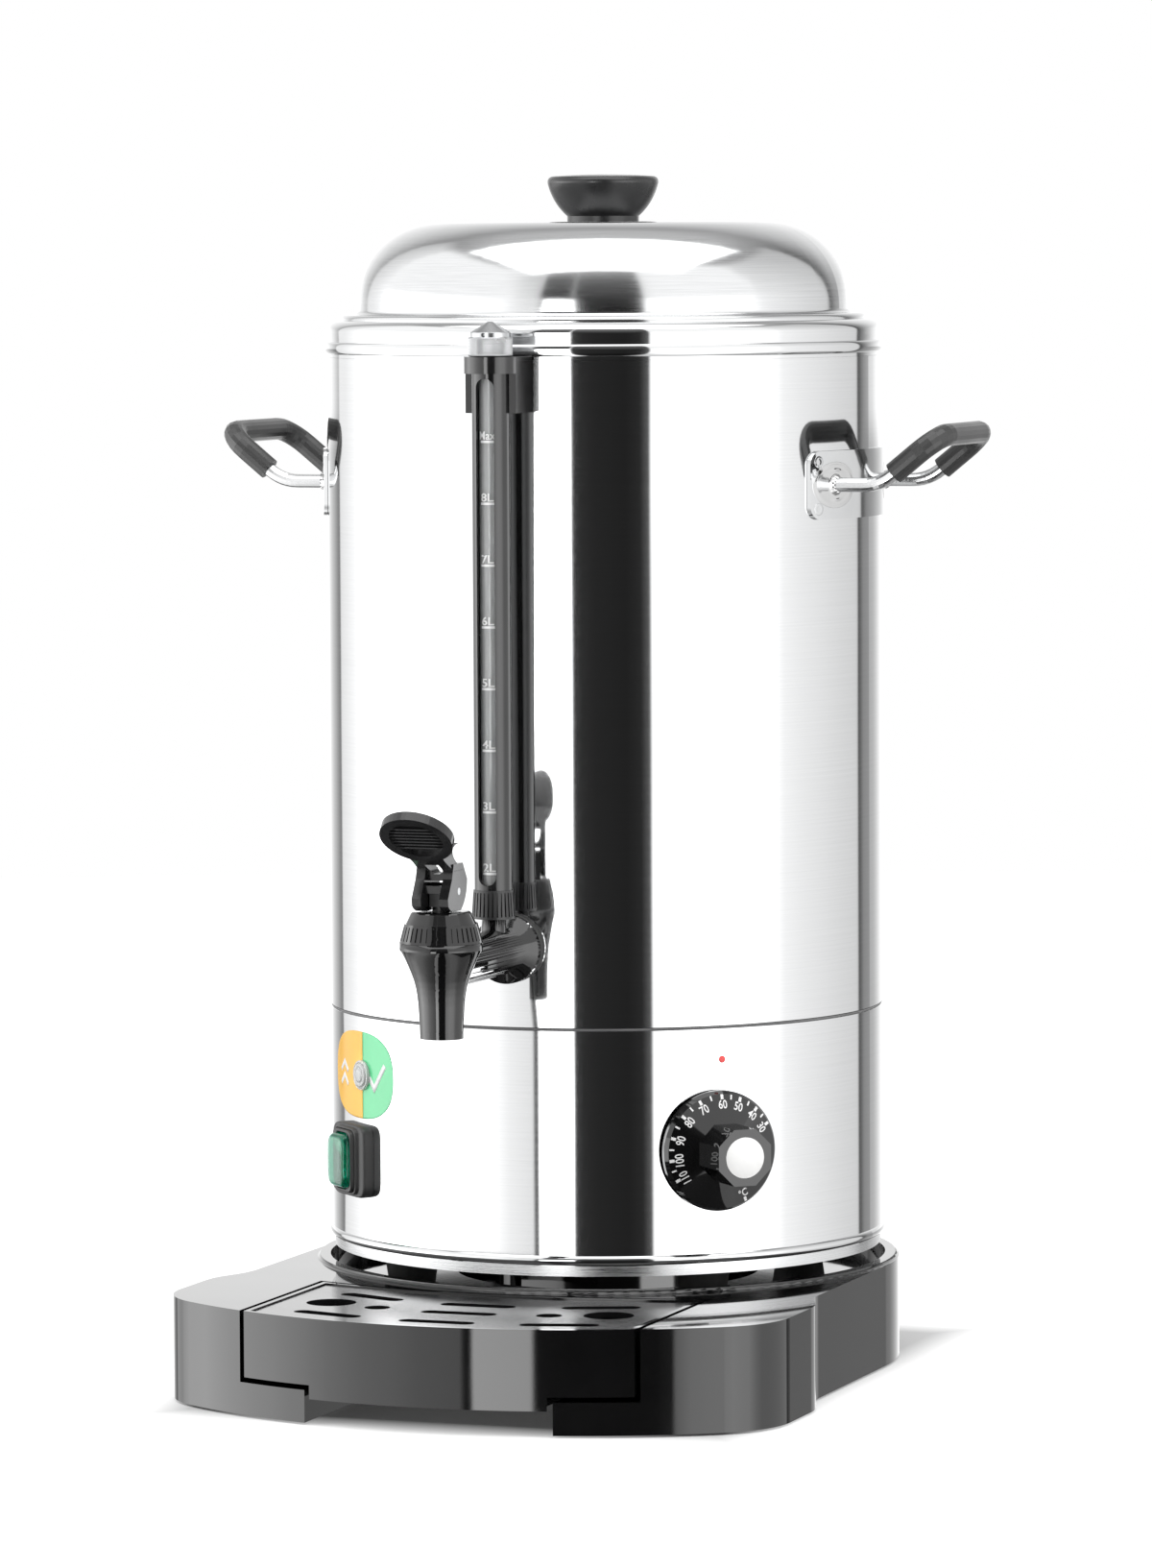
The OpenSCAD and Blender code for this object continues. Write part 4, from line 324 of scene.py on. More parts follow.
def turned_steel(name, dark, light, rough, pitch, line_depth, ripple_depth):
    """Steel turned about the urn's axis: the ring lines set its tone, its roughness and a fine bump, and a slow
    ripple bends the sheet by a depth."""
    material, tree, output = new_material(name)
    shader = add(tree, "BsdfPrincipled", {"Metallic": 1})
    group = add(tree, "Group", node_tree=turned)
    group.inputs["Pitch"].default_value = pitch
    ramp, gloss = two_tones(tree, dark, light, rough)
    fine = add(tree, "Bump", {"Distance": line_depth})
    wavy = add(tree, "Bump", {"Distance": ripple_depth})
    wire(tree, (group.outputs["Lines"], ramp.inputs[0]), (group.outputs["Lines"], gloss.inputs["Value"]),
         (group.outputs["Lines"], fine.inputs["Height"]), (group.outputs["Ripple"], wavy.inputs["Height"]),
         (wavy.outputs[0], fine.inputs["Normal"]), (ramp.outputs[0], shader.inputs["Base Color"]),
         (gloss.outputs[0], shader.inputs["Roughness"]), (fine.outputs[0], shader.inputs["Normal"]),
         (shader.outputs[0], output.inputs["Surface"]))
    return material


mirror_steel = turned_steel("mirror_steel", (0.588, 0.592, 0.596), (0.614, 0.618, 0.622), (0.045, 0.06),
                            1400, 4e-7, 1.2e-4)
tank_steel = turned_steel("tank_steel", (0.54, 0.545, 0.55), (0.64, 0.645, 0.65), (0.22, 0.34), 2400, 6e-6, 6e-5)
dress(mirror_steel, "outer_shell", "lower_housing")
dress(tank_steel, "inner_tank", "bottom_plate")
dress(black_rubber, "kettle_feet", "tap_outer_washer", "tap_inner_washer", "gauge_seals")

# Collar. A ring of the same polished sheet closes the double wall: a bead at its foot, an upright band and a round
# shoulder that rises beside the lid's flange and turns down to the tank's mouth.
def ring_about_axis(name, profile, material):
    """A closed profile of radii and heights carried round the urn's axis in 360 steps."""
    turn, r = np.meshgrid(circle(360), profile[:, 0], indexing="ij")
    points = np.stack([r * np.cos(turn), axis_y + r * np.sin(turn), np.broadcast_to(profile[:, 1], r.shape)], -1)
    return surface(name, points, quad_faces(*r.shape, close_rows=True, close_cols=True), material)


turn = np.linspace(0, np.pi, 25)
bead_side = np.stack([119.9 + 1.3 * np.sin(turn) ** 0.8, 440.1 - 2.6 * np.cos(turn)], 1)
turn = np.linspace(0, np.pi / 2, 17)
shoulder = np.stack([115.0 + 5.0 * np.cos(turn), 447.2 + 4.6 * np.sin(turn)], 1)
turn = np.linspace(0, np.pi / 2, 9)
lip = np.stack([115.0 - 0.7 * np.sin(turn), 451.1 + 0.7 * np.cos(turn)], 1)
collar_profile = np.vstack([
    [[119.25, 436.05], [119.9, 436.05], [119.9, 436.8]], bead_side, [[119.9, 443.4], [120, 445.2]], shoulder, lip[1:],
    [[114.3, 449], [114.3, 447.5], [112.2, 447.5], [112.2, 446.7], [119.2, 446.7]]]) * MM
collar = ring_about_axis("rolled_collar", collar_profile, mirror_steel)
collar.data.set_sharp_from_angle(angle=math.radians(40))
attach(collar, "kettle")
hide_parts("rim_collar")

# Seam. A thin ring of dark grey fills the groove between the upper wall and the lower housing. It is painted shade that
# stands in for the groove's shadow, so the seam shows as a thin dark line.
seam_shade_grey = grained("seam_shade_grey", (0.10, 0.10, 0.102), (0.15, 0.15, 0.152), (0.35, 0.5), 2600, 1.5e-5)
seam_profile = np.array([[119.1, 154.95], [119.6, 155.05], [119.8, 155.3], [119.85, 155.5], [119.8, 155.7],
                         [119.6, 155.95], [119.1, 156.05]]) * MM
# Painted shade: a dark grey ring put in the groove where there is only shadow.
seam = ring_about_axis("seam_shade_ring", seam_profile, seam_shade_grey)
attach(seam, "kettle")

# Heater and fixings inside the lower housing: an alloy plate under the tank with a bent sheathed element, a copper
# bulb, a cut-out and the lead's terminals, all held by plain steel screws.
satin_black = grained("satin_black", (0.012, 0.012, 0.0125), (0.020, 0.020, 0.0205), (0.32, 0.44), 3200, 2.5e-5)
plain_steel = grained("plain_steel", (0.50, 0.51, 0.52), (0.64, 0.65, 0.66), (0.20, 0.34), 1800, 1e-5, Metallic=1.0)
cast_alloy = grained("cast_alloy", (0.58, 0.58, 0.59), (0.72, 0.72, 0.73), (0.38, 0.55), 1500, 3e-5, Metallic=1.0)
dark_sheath = grained("dark_sheath", (0.20, 0.19, 0.19), (0.34, 0.33, 0.33), (0.35, 0.55), 1600, 1.5e-5, Metallic=1.0)
drawn_copper = grained("drawn_copper", (0.62, 0.32, 0.20), (0.80, 0.46, 0.30), (0.18, 0.32), 1500, 1e-5, Metallic=1.0)
ivory_plastic = grained("ivory_plastic", (0.62, 0.57, 0.46), (0.70, 0.66, 0.55), (0.36, 0.48), 1800, 1.2e-5)
dress(cast_alloy, "heat_spreader")
dress(dark_sheath, "heating_element")
dress(drawn_copper, "sensor_bulb")
dress(ivory_plastic, "thermostat", "terminal_block")
dress(satin_black, "thermal_cutout", "switch_body", "lamp_body", "lead_inlet")
dress(plain_steel, "foot_screws", "centre_stud", "stud_nut", "thermostat_nut", "thermostat_spindle", "bracket_screws",
      "knob_screw", "tap_spacer")

# Switch. A soft black boot, stepped in twice, holds a tinted rocker under a clear pillow of soft plastic that keeps
# splashes out; the rocker carries a stroke and a ring for on and off.
boot_black = grained("boot_black", (0.014, 0.014, 0.014), (0.024, 0.024, 0.024), (0.38, 0.52), 2600, 4e-5)
green_tint = grained("green_tint", (0.0, 0.30, 0.16), (0.01, 0.40, 0.22), (0.10, 0.18), 700, 6e-6,
                     Transmission_Weight=0.35, IOR=1.49)
# Painted light: the pillow's colour runs from pale mint in its middle, a painted sheen over the rocker seen through it,
# to deep green at its rim, painted shade of the boot's recess.
pillow_painted_light = grained("pillow_painted_light", (0.62, 0.90, 0.78), (0.0, 0.40, 0.26), (0.03, 0.07), 900, 6e-6, mask="rim",
                     Transmission_Weight=0.88, IOR=1.38)
white_ink = grained("white_ink", (0.78, 0.78, 0.78), (0.86, 0.86, 0.86), (0.30, 0.42), 2200, 3e-6)
dress(green_tint, "switch_rocker")
switch_angle, switch_z, bezel_u, pivot_u, vee_u = -44.4, 93 * MM, 127 * MM, 124.5 * MM, 1.0 * MM
cover_w, cover_h, cover_crown = 8.4 * MM, 11.6 * MM, 4.0 * MM


def on_wall(angle, across, rise, out):
    """Points on the urn's wall frame: across runs round the wall, rise is up and out points away from the axis,
    all at a bearing from the tap's side in degrees."""
    a = math.radians(angle)
    across, rise, out = np.broadcast_arrays(across, rise, out)
    return np.stack([across * math.cos(a) + out * math.sin(a),
                     axis_y + across * math.sin(a) - out * math.cos(a), rise], -1)


def fan_faces(rows, cols):
    """Faces of a cap whose first point is its pole and whose next points are rings of a closed grid."""
    ring = np.arange(cols)
    fan = [[0, 1 + i, 1 + (i + 1) % cols] for i in ring]
    return fan + (1 + quad_faces(rows, cols, close_cols=True)).tolist()


def thicken(piece, thick):
    """Turns a sheet into a closed solid, with its faces as they are and its thickness behind them."""
    body = piece.modifiers.new("sheet", "SOLIDIFY")
    body.thickness = thick
    body.offset = -1
    return piece


def squared(wave, power):
    """A sine or cosine raised to a power with its sign kept, so that a power below 1 fills a circle to a square."""
    return np.sign(wave) * np.abs(wave) ** power


boot_power, wall_touch = 0.28, 120.02
boot_rows = np.array([
    [16.0, 15.6, 0], [16.0, 15.6, 122.6], [15.8, 15.4, 123.5], [15.2, 14.9, 124.0], [11.6, 14.5, 124.0],
    [11.4, 14.4, 124.2], [11.4, 14.4, 125.2], [11.1, 14.1, 125.6], [10.5, 13.7, 125.6], [10.3, 13.6, 125.4],
    [10.3, 13.6, 124.8], [9.9, 13.4, 124.8], [9.7, 13.3, 126.4], [9.5, 13.1, 126.9], [9.0, 12.7, 127.0],
    [6.2, 12.4, 127.0], [5.9, 12.2, 126.7], [5.9, 12.2, 120.4]])
row, t = np.meshgrid(np.arange(len(boot_rows)), circle(96), indexing="ij")
boot_x = boot_rows[row, 0] * squared(np.cos(t), boot_power)
boot_y = boot_rows[row, 1] * squared(np.sin(t), boot_power)
boot_u = np.where(row == 0, np.sqrt(wall_touch ** 2 - boot_x ** 2), boot_rows[row, 2])
boot = surface("soft_boot", on_wall(switch_angle, boot_x * MM, switch_z + boot_y * MM, boot_u * MM),
               quad_faces(*row.shape, close_rows=True, close_cols=True)[:, ::-1], boot_black)
boot.data.set_sharp_from_angle(angle=math.radians(50))
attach(boot, "kettle")
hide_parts("switch_boot")

s, t = np.meshgrid(np.sin(np.linspace(0.08, np.pi / 2, 14)), circle(96), indexing="ij")
pillow_x = cover_w * s * squared(np.cos(t), 1 / 3)
pillow_y = cover_h * s * squared(np.sin(t), 1 / 3)
pillow_u = bezel_u + cover_crown * np.sqrt(1 - np.minimum(s, 1) ** 6)
pillow = on_wall(switch_angle, pillow_x, switch_z + pillow_y, pillow_u).reshape(-1, 3)
pole = on_wall(switch_angle, 0, switch_z, bezel_u + cover_crown)
cover = thicken(surface("switch_cover", np.vstack([pole, pillow]), fan_faces(14, 96), pillow_painted_light), 0.5 * MM)
# Painted shade: this mask rises towards the pillow's rim, where its colour turns deep green.
rim = np.append(0, np.clip((s.ravel() - 0.78) / 0.16, 0, 1))
cover.data.attributes.new("rim", "FLOAT", "POINT").data.foreach_set("value", rim.astype(np.float32))
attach(cover, "kettle")


def on_rocker(across, along, lift):
    """Points on the rocker's faces at rest: along runs up from the vee, and each face leans out by 9 degrees."""
    lean = math.radians(9)
    out = vee_u + np.abs(along) * math.tan(lean) + lift
    return on_wall(switch_angle, across, switch_z + along * math.cos(lean) - out * math.sin(lean),
                   pivot_u + out * math.cos(lean) + along * math.sin(lean))


def joined(parts):
    """One list of points and one of faces from several."""
    points, faces = [], []
    for part_points, part_faces in parts:
        start = sum(map(len, points))
        points.append(np.asarray(part_points).reshape(-1, 3))
        faces += [[int(v) + start for v in face] for face in part_faces]
    return np.vstack(points), faces


print_lift = 0.06 * MM
x, y = np.meshgrid([-0.4 * MM, 0.4 * MM], np.linspace(3.6, 7.6, 5) * MM, indexing="ij")
stroke = on_rocker(x, y, print_lift), quad_faces(2, 5)[:, ::-1]
r, t = np.meshgrid([1.3 * MM, 2.1 * MM], circle(36), indexing="ij")
ring = on_rocker(r * np.cos(t), -5.6 * MM + r * np.sin(t), print_lift), quad_faces(2, 36, close_cols=True)
rocker_marks = thicken(surface("rocker_marks", *joined([stroke, ring]), white_ink), 0.05 * MM)
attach(rocker_marks, "rocker")

# Status label and lamp. A printed vinyl label, orange on one side and green on the other, is stuck on the wall
# round a clear stepped lens; its white marks are two chevrons for heating up and a tick for ready.
label_angle, label_z, label_w, label_h, label_split = -42.1, 129.9 * MM, 25.8 * MM, 18.65 * MM, 2.3 * MM
orange_vinyl = grained("orange_vinyl", (0.88, 0.46, 0.02), (0.93, 0.52, 0.03), (0.16, 0.24), 1400, 3e-6)
green_vinyl = grained("green_vinyl", (0.10, 0.60, 0.26), (0.13, 0.66, 0.30), (0.16, 0.24), 1400, 3e-6)


def on_sheet(angle, across, rise, lift):
    """Points of a thin sheet that hugs the round wall, at a lift above it."""
    a = np.asarray(across) / wall_r + math.radians(angle)
    return np.stack([(wall_r + lift) * np.sin(a), axis_y - (wall_r + lift) * np.cos(a), rise + 0 * a], -1)


lamp_angle, lamp_z, lens_hole_r = -41, 130 * MM, 5.2 * MM
label_fill = 2.6
for half, start, end, reach in (
        ("orange", -29 * MM, label_split, 29 * MM), ("green", label_split, label_w, label_w)):
    swing = np.linspace(0, np.pi / 2, 36)
    x = start + (end - start) * (np.sin(swing) if half == "green" else 1 - np.cos(swing))
    tall = label_h * (1 - np.minimum(np.abs(x / reach), 1) ** label_fill) ** (1 / label_fill)
    rise = label_z + tall[:, None] * np.linspace(-1, 1, 61)
    points = on_sheet(label_angle, np.repeat(x[:, None], 61, 1), rise, 0.14 * MM)
    faces = quad_faces(36, 61)
    middle = points.reshape(-1, 3)[faces].mean(1) - on_sheet(lamp_angle, 0, lamp_z, 0)
    faces = faces[np.linalg.norm(middle, axis=1) > lens_hole_r]
    vinyl = orange_vinyl if half == "orange" else green_vinyl
    piece = thicken(surface("label_" + half, points, faces, vinyl), 0.1 * MM)
    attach(piece, "kettle")


def band(corners, width, angle, lift):
    """A stroke of a width along the corners of a path on the wall, with mitred corners, as points and faces."""
    path = np.asarray(corners, float)
    steps = np.diff(path, axis=0)
    steps /= np.linalg.norm(steps, axis=1)[:, None]
    sides = np.stack([-steps[:, 1], steps[:, 0]], 1)
    miter = np.vstack([sides[:1], sides[:-1] + sides[1:], sides[-1:]])
    miter /= (miter * np.vstack([sides[:1], sides])).sum(1)[:, None]
    fine = np.linspace(0, len(path) - 1, 8 * (len(path) - 1) + 1)
    whole = np.arange(len(path))
    edge = [np.stack([np.interp(fine, whole, (path + sign * width / 2 * miter)[:, k]) for k in (0, 1)], -1)
            for sign in (1, -1)]
    grid = np.stack(edge)
    return on_sheet(angle, grid[..., 0], grid[..., 1], lift), quad_faces(2, len(fine))


marks_lift = 0.2 * MM
tick = band([(8.2 * MM, label_z - 0.5 * MM), (12.2 * MM, label_z - 5 * MM), (20.2 * MM, label_z + 5.5 * MM)],
            2.4 * MM, label_angle, marks_lift)
chevrons = [band([(-21.6 * MM, label_z + rise), (-17.2 * MM, label_z + rise + 4 * MM), (-12.8 * MM, label_z + rise)],
                 1.9 * MM, label_angle, marks_lift) for rise in (-5.4 * MM, 0.4 * MM)]
label_marks = thicken(surface("label_marks", *joined([tick] + chevrons), white_ink), 0.08 * MM)
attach(label_marks, "kettle")
frosted_lens = grained("frosted_lens", (0.80, 0.81, 0.80), (0.88, 0.89, 0.88), (0.16, 0.26), 1500, 8e-6,
                       Transmission_Weight=0.55, IOR=1.49)
lens_rows = np.array([
    [6.45, 119.75], [6.45, 121.2], [6.25, 121.5], [5.7, 121.55], [5.45, 121.1], [5.1, 121.1], [4.9, 121.95],
    [4.6, 122.2], [3.9, 122.2], [3.6, 121.95], [3.2, 121.95], [3.0, 122.3], [2.2, 122.6], [1.0, 122.75]])[::-1] * MM
lens_top = 122.78 * MM
r, t = np.meshgrid(lens_rows[:, 0], circle(64), indexing="ij")
lens_points = on_wall(lamp_angle, r * np.cos(t), lamp_z + r * np.sin(t), np.repeat(lens_rows[:, 1:], 64, 1))
lens = surface("lamp_lens_cap", np.vstack([on_wall(lamp_angle, 0, lamp_z, lens_top), lens_points.reshape(-1, 3)]),
               fan_faces(len(lens_rows), 64), frosted_lens)
lens.data.set_sharp_from_angle(angle=math.radians(40))
thicken(lens, 0.25 * MM)
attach(lens, "kettle")
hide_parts("lamp_lens")

# Thermostat dial. A black moulding with a conical skirt and an octagonal grip; the scale from 30 to 110 degrees is
# printed on the skirt, and a crowned white cap is pressed into the grip.
white_plastic = grained("white_plastic", (0.80, 0.80, 0.79), (0.86, 0.86, 0.85), (0.18, 0.28), 1500, 6e-6)
dress(gloss_black, "thermostat_dial")
dress(white_plastic, "dial_cap")
dial_angle, dial_z = 42.2, 103.5 * MM
skirt_u, skirt_r, skirt_rise, skirt_run = 125 * MM, 24.3 * MM, 4, 12.4
numeral_r, numeral_tall, unit_turn = 20.05 * MM, 3.6 * MM, 152.7


def lettering(text, tall, bold=0.0):
    """Flat letters of a height, centred on the origin, as points and faces of Blender's own plain font, with their
    strokes widened by a share of the height."""
    curve = bpy.data.curves.new(text, "FONT")
    curve.body = text
    curve.resolution_u = 3
    curve.offset = bold
    holder = bpy.data.objects.new(text, curve)
    bpy.context.collection.objects.link(holder)
    bpy.context.view_layer.update()
    mesh = bpy.data.meshes.new_from_object(holder.evaluated_get(bpy.context.evaluated_depsgraph_get()))
    flat = np.empty(3 * len(mesh.vertices))
    mesh.vertices.foreach_get("co", flat)
    flat = flat.reshape(-1, 3)[:, :2]
    low, high = flat.min(0), flat.max(0)
    faces = [list(face.vertices) for face in mesh.polygons]
    bpy.data.objects.remove(holder)
    bpy.data.curves.remove(curve)
    bpy.data.meshes.remove(mesh)
    return (flat - (low + high) / 2) * tall / (high[1] - low[1]), faces


def on_dial(turn, across, out_from_axis, lift):
    """Points on the dial's conical skirt: out_from_axis runs along a bearing, clockwise from the top in degrees,
    and across runs clockwise; the skirt rises 4 mm from a radius of 24.3 mm to one of 11.9 mm."""
    t = math.radians(turn)
    x = out_from_axis * math.sin(t) + across * math.cos(t)
    y = out_from_axis * math.cos(t) - across * math.sin(t)
    skirt = skirt_u + (skirt_r - np.hypot(x, y)) * skirt_rise / skirt_run
    return on_wall(dial_angle, x, dial_z + y, skirt + lift)


scale_turns = {30: 62, 40: 42, 50: 21, 60: 0, 70: -25, 80: -49, 90: -74, 100: -97.5, 110: -119.6}
ticks = [(np.interp(degrees, list(scale_turns), list(scale_turns.values())), 0.35 if degrees % 10 else 0.62)
         for degrees in range(30, 111, 5)]
marks = []
for turn, half in ticks + [(unit_turn, 0.62)]:
    x, y = np.meshgrid([half * MM, -half * MM], np.linspace(22.1, 24.1, 4) * MM, indexing="ij")
    marks.append((on_dial(turn, x, y, print_lift), quad_faces(2, 4)))
for text, turn, upright in [(str(k), v, 1) for k, v in scale_turns.items()] + [("°C", unit_turn, -1)]:
    letters, faces = lettering(text, numeral_tall, 0.012)
    across, out = 0.82 * upright * letters[:, 0], numeral_r + upright * letters[:, 1]
    marks.append((on_dial(turn, across, out, print_lift), faces))
dial_marks = thicken(surface("dial_marks", *joined(marks), white_ink, smooth=False), 0.06 * MM)
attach(dial_marks, "dial")

# Index dot. A drop of red enamel, set on the wall above the dial with a dipped pin, shows where the scale is read.
# It dries to a low dome.
red_enamel = grained("red_enamel", (0.66, 0.02, 0.02), (0.76, 0.04, 0.035), (0.12, 0.2), 1200, 5e-6)
dot_angle, dot_z, dot_r, dot_edge, dot_crown = 43.4, 141.8 * MM, 1.5 * MM, 0.02 * MM, 0.2 * MM
s, t = np.meshgrid(np.linspace(0.12, 1, 8), circle(32), indexing="ij")
drop = on_sheet(dot_angle, dot_r * s * np.cos(t), dot_z + dot_r * s * np.sin(t), dot_edge + dot_crown * (1 - s ** 2))
pole = on_sheet(dot_angle, 0, dot_z, dot_edge + dot_crown)
index_dot = thicken(
    surface("index_dot", np.vstack([pole, drop.reshape(-1, 3)]), fan_faces(8, 32), red_enamel), 0.06 * MM)
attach(index_dot, "kettle")

# Handles. Each is a polished rod, bent up and out, welded by its two feet to a round-cornered plate that is spot
# welded to the wall; a black sleeve is drawn over the bar.
plate_steel = grained("plate_steel", (0.55, 0.555, 0.56), (0.62, 0.624, 0.628), (0.05, 0.10), 1500, 2e-6, Metallic=1.0)
weld_steel = grained("weld_steel", (0.52, 0.52, 0.52), (0.61, 0.61, 0.61), (0.08, 0.16), 1400, 1.2e-5, Metallic=1.0)
sleeve_black = grained("sleeve_black", (0.020, 0.020, 0.020), (0.030, 0.030, 0.030), (0.28, 0.38), 1800, 8e-6, 5e-5)
rod_steel = grained("rod_steel", (0.55, 0.555, 0.56), (0.63, 0.634, 0.638), (0.12, 0.20), 1500, 2e-6, Metallic=1.0)
dress(plate_steel, "left_handle_plate", "right_handle_plate")
dress(rod_steel, "left_handle_rod", "right_handle_rod")
dress(sleeve_black, "left_handle_grip", "right_handle_grip")
handle_z, plate_r, foot_x = 382 * MM, 121.6 * MM, 35 * MM


def on_plate(angle, across, rise, lift):
    """Points at a lift out of the curved plate's face."""
    return on_wall(angle, across, rise, np.sqrt(plate_r ** 2 - np.asarray(across) ** 2) + lift)


rho, t = np.meshgrid(np.linspace(2.6, 9.8, 49), np.linspace(-180, 180, 97)[:-1], indexing="ij")
fillet = 1.7 * np.exp(-((rho - 3) / 0.9) ** 2) * (1 + 0.16 * np.cos(np.radians(11 * t)))
ridge = 0.12 * np.exp(-((rho - 8.2) / 0.7) ** 2)
runs = 0.35 * np.exp(-((rho - 6.4) / 0.6) ** 2) * np.exp(-((np.abs(t) - 80) / 20) ** 2)
weld_lift = np.vstack([-0.4 + 0 * t[:1], fillet + ridge + runs + 0.03, -0.4 + 0 * t[:1]]) * MM
weld_rho = np.vstack([rho[:1], rho, rho[-1:]]) * MM
weld_turn = np.radians(np.vstack([t[:1], t, t[:1]]))
weld_wide = 1 + 0.5 * np.clip((weld_rho / MM - 4) / 4, 0, 1)
spot_rho, spot_turn = np.meshgrid(np.linspace(0.3, 2.6, 12) * MM, circle(32), indexing="ij")
spot_lift = (0.1 * np.exp(-((spot_rho / MM - 1.7) / 0.5) ** 2) + 0.01) * MM
spot_places = ((-46, -10), (-46, 10), (46, -10), (46, 10))
for side, angle in (("left", -90), ("right", 90)):
    feet = [(on_plate(angle, x + weld_wide * weld_rho * np.cos(weld_turn), handle_z + weld_rho * np.sin(weld_turn),
                      weld_lift),
             quad_faces(51, 96, close_rows=True, close_cols=True)[:, ::-1]) for x in (-foot_x, foot_x)]
    welds = surface(side + "_handle_welds", *joined(feet), weld_steel)
    spots = []
    for x, z in spot_places:
        rings = on_plate(angle, x * MM + spot_rho * np.cos(spot_turn),
                         handle_z + z * MM + spot_rho * np.sin(spot_turn), spot_lift)
        centre = on_plate(angle, x * MM, handle_z + z * MM, 0.01 * MM)
        spots.append((np.vstack([centre, rings.reshape(-1, 3)]), fan_faces(12, 32)))
    spot_welds = thicken(surface(side + "_spot_welds", *joined(spots), plate_steel), 0.1 * MM)
    for piece in (welds, spot_welds):
        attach(piece, "kettle")

# Level gauge. A clear tube stands in a slotted black guard between a nut on the tap's port and a bracket under the
# rim; litre marks are printed on the tube, and a knurled cap with a vent closes its top.
guard_black = grained("guard_black", (0.006, 0.006, 0.0062), (0.010, 0.010, 0.0103), (0.10, 0.17), 1300, 6e-6,
                      IOR=1.57)
# Painted shade: the cap's steel is set darker than plain steel to stand in for the shade in the knurl's grooves, on top
# of the grooves cut below.
knurled_steel = grained("knurled_steel", (0.34, 0.345, 0.35), (0.44, 0.445, 0.45), (0.18, 0.28), 1800, 4e-6,
                        Metallic=1.0)
dress(guard_black, "gauge_guard", "gauge_bracket")
dress(satin_black, "gauge_nut")
milky_tube = grained("milky_tube", (0.82, 0.84, 0.84), (0.90, 0.91, 0.91), (0.06, 0.12), 900, 3e-6,
                     Transmission_Weight=0.72, IOR=1.49)
dress(milky_tube, "gauge_tube")
gauge_y, tube_r, cap_z = axis_y - 140.3 * MM, 5.0 * MM, 438.1 * MM


def on_tube(across, rise, lift):
    """Points on the front of the gauge's tube."""
    a = np.asarray(across) / tube_r
    return np.stack([(tube_r + lift) * np.sin(a), gauge_y - (tube_r + lift) * np.cos(a), rise + 0 * a], -1)


first_mark, litre_step = 222.9, 25.7
litres = []
for litre in range(2, 10):
    mark_z = (first_mark + litre_step * (litre - 2)) * MM
    x, z = np.meshgrid(np.linspace(3.05, -3.05, 17) * MM, np.linspace(-0.5, 0.5, 3) * MM, indexing="ij")
    litres.append((on_tube(x, mark_z + z, 0.07 * MM), quad_faces(17, 3)))
    letters, faces = lettering("Max" if litre == 9 else f"{litre}L", 3.5 * MM, 0.016)
    across = letters[:, 0] * (0.9 if litre == 9 else 1.2)
    litres.append((on_tube(across, mark_z + 2.6 * MM + letters[:, 1], 0.17 * MM), faces))
litre_marks = thicken(surface("litre_marks", *joined(litres), white_ink, smooth=False), 0.06 * MM)
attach(litre_marks, "kettle")

band_z = np.linspace(0.4, 7.6, 61)
cap_profile = np.vstack([
    [[0.6, 0], [8.6, 0], [8.95, 0.05]], np.stack([9.35 + 0 * band_z, band_z], 1), [[8.95, 7.95], [8.45, 8.0]],
    np.stack([np.full(20, 8.45), np.linspace(8.05, 9.85, 20)], 1), [[8.4, 9.95]],
    np.stack([np.linspace(8.2, 1.2, 12), np.linspace(10.08, 14.35, 12)], 1), [[0.9, 14.4], [0.4, 14.4]]])
cap_steps, knurl_count, knurl_pitch, knurl_deep, vent_deep, cap_tall = 480, 60, 1.2, 0.3, 1.6, 14.4
turns = np.linspace(0, 1, cap_steps + 1)[None, :-1]
profile_r, profile_z = cap_profile[:, :1], cap_profile[:, 1:]
knurl_a = np.abs((knurl_count * turns + profile_z / knurl_pitch) % 1 - 0.5)
knurl_b = np.abs((knurl_count * turns - profile_z / knurl_pitch) % 1 - 0.5)
knurled = (profile_r > 9.3) * np.interp(profile_z, [0.4, 0.9, 7.1, 7.6], [0, 1, 1, 0])
vent = np.hypot(np.abs(turns - 0.5) * 2 * np.pi * 8.45, profile_z - 8.95)
in_neck = (profile_r < 8.46) * (profile_z > 8) * (profile_z < 9.9)
vent_pit = in_neck * vent_deep * np.clip((0.85 - vent) / 0.2, 0, 1)
cap_r = (profile_r - knurl_deep * knurled * (1 - 2 * np.minimum(knurl_a, knurl_b)) - vent_pit) * MM
cap_turn = 2 * np.pi * (turns - 0.25)
cap_points = np.stack([cap_r * np.cos(cap_turn), gauge_y - cap_r * np.sin(cap_turn),
                       cap_z + profile_z * MM + 0 * cap_turn], -1)
last_row = (len(cap_profile) - 1) * cap_steps
ends = np.array([[0, gauge_y, cap_z], [0, gauge_y, cap_z + cap_tall * MM]])
foot, tip = last_row + cap_steps, last_row + cap_steps + 1
cap_faces = quad_faces(len(cap_profile), cap_steps, close_cols=True).tolist()
cap_faces += [[foot, i, (i + 1) % cap_steps] for i in range(cap_steps)]
cap_faces += [[tip, last_row + (i + 1) % cap_steps, last_row + i] for i in range(cap_steps)]
cap = surface("knurled_cap", np.vstack([cap_points.reshape(-1, 3), ends]), cap_faces, knurled_steel)
cap.data.set_sharp_from_angle(angle=math.radians(35))
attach(cap, "kettle")
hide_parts("gauge_cap")
